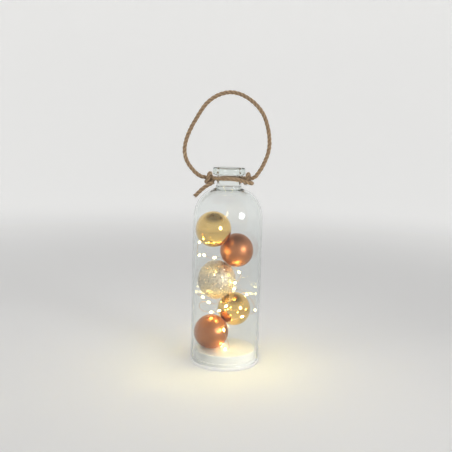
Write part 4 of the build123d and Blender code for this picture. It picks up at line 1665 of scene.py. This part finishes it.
@dataclass
class Studio:
    """Pale floor that sweeps up behind, soft lamps and the camera. Metres and degrees."""

    eye: Point = (-0.0025, -0.89, 0.326)
    pitch: float = 8.0
    roll: float = 1.46
    focal_pixels: float = 620.0
    picture_pixels: float = 452.0
    sensor: float = 36.0
    centre: Point = (0.0, 0.0, 0.2)
    floor_radius: float = 3.2
    floor_flat: float = 1.6
    floor_sides: int = 96
    sweep: float = 1.2
    sweep_steps: int = 16
    wall_height: float = 2.6
    sky_light: Colour = (0.75, 0.76, 0.78)
    sky_strength: float = 0.36
    sky_fade: Pair = (0.58, 0.98)
    sky_rim: Colour = (0.74, 0.735, 0.725)
    sky_top: Colour = (0.2, 0.205, 0.215)

    def camera(self) -> None:
        """Sets the camera at the photograph's viewing angle."""
        data = bpy.data.cameras.new("camera")
        data.sensor_width = self.sensor
        data.lens = self.focal_pixels / self.picture_pixels * self.sensor
        camera = Bench.hand_in("camera", data)
        tilt = Matrix.Rotation(math.radians(90 - self.pitch), 4, "X")
        roll = Matrix.Rotation(math.radians(self.roll), 4, "Z")
        camera.matrix_world = Matrix.Translation(self.eye) @ (tilt @ roll)
        bpy.context.scene.camera = camera

    def floor(self) -> None:
        """Lays a round floor whose rim sweeps up into a plain wall."""
        bpy.ops.object.select_all(action="DESELECT")
        bpy.ops.mesh.primitive_circle_add(
            vertices=self.floor_sides, radius=self.floor_radius, fill_type="NGON"
        )
        floor = Bench.settle("floor")
        near_rim = 0.99 * self.floor_radius
        Bench.pick(floor, lambda place: True)
        bpy.ops.mesh.inset(thickness=self.floor_radius - self.floor_flat)
        bpy.ops.object.mode_set(mode="OBJECT")
        Bench.pick(floor, lambda place: place.length > near_rim)
        bpy.ops.mesh.extrude_edges_move(TRANSFORM_OT_translate={"value": (0.0, 0.0, self.wall_height)})
        bpy.ops.object.mode_set(mode="OBJECT")
        Bench.pick(floor, lambda place: place.length > near_rim and place.z < self.wall_height / 2)
        bpy.ops.mesh.bevel(offset=self.sweep, segments=self.sweep_steps, affect="EDGES")
        bpy.ops.object.mode_set(mode="OBJECT")
        Bench.smooth(floor, angle=60.0)
        PALE_FLOOR.dress(floor)

    def light(self) -> None:
        """Hangs a soft lamp overhead, a round one at the right and a weak one at the left."""
        above, right, left = (0.0, -0.2, 1.9), (0.95, -0.88, 0.46), (-1.5, -0.9, 0.7)
        Lamp("overhead", above, (0.0, 0.1, 0.0), size=2.2, power=13.0, spread=180.0).hang()
        Lamp("round_key", right, self.centre, size=0.5, power=0.62, spread=50.0, mirrored=True).hang()
        Lamp("left_fill", left, self.centre, size=1.1, power=0.75, spread=60.0).hang()
        bpy.context.scene.view_settings.view_transform = "Standard"

    def sky(self) -> None:
        """Gives even dim light from all round; gloss and glass see the wall fade into it overhead."""
        world = bpy.data.worlds.new("studio")
        shader = Shader(world)
        camera, glossy, through = (
            shader.add("ShaderNodeLightPath", out=f"Is {ray} Ray")
            for ray in ("Camera", "Glossy", "Transmission")
        )
        dim = {"Color": self.sky_light, "Strength": self.sky_strength}
        height = shader.part(shader.coords("Generated"), "Z")
        fade = shader.mix(height.step(*self.sky_fade), self.sky_rim, self.sky_top)
        both = shader.add("ShaderNodeMixShader", sockets={
            0: 1 - (1 - camera) * (1 - glossy) * (1 - through),
            1: shader.add("ShaderNodeBackground", sockets=dim),
            2: shader.add("ShaderNodeBackground", sockets={"Color": fade}),
        })
        shader.add("ShaderNodeOutputWorld", sockets={"Surface": both})
        bpy.context.scene.world = world

    def build(self) -> None:
        """Sets up camera, floor, lamps and sky."""
        self.camera()
        self.floor()
        self.light()
        self.sky()


def main() -> None:
    """Builds the studio and every sub-assembly, in order."""
    logging.basicConfig(level=logging.INFO, format="%(name)s: %(message)s")
    bottle = GlassBottle()
    base = WhiteBase()
    Studio().build()
    RopeHandle().build()
    LightString(base.plug_top).build()
    bottle.build()
    base.build()
    base.dress()
    BaubleStack(bottle.radius - bottle.wall, base.plug_top).build()


if __name__ == "__main__":
    main()
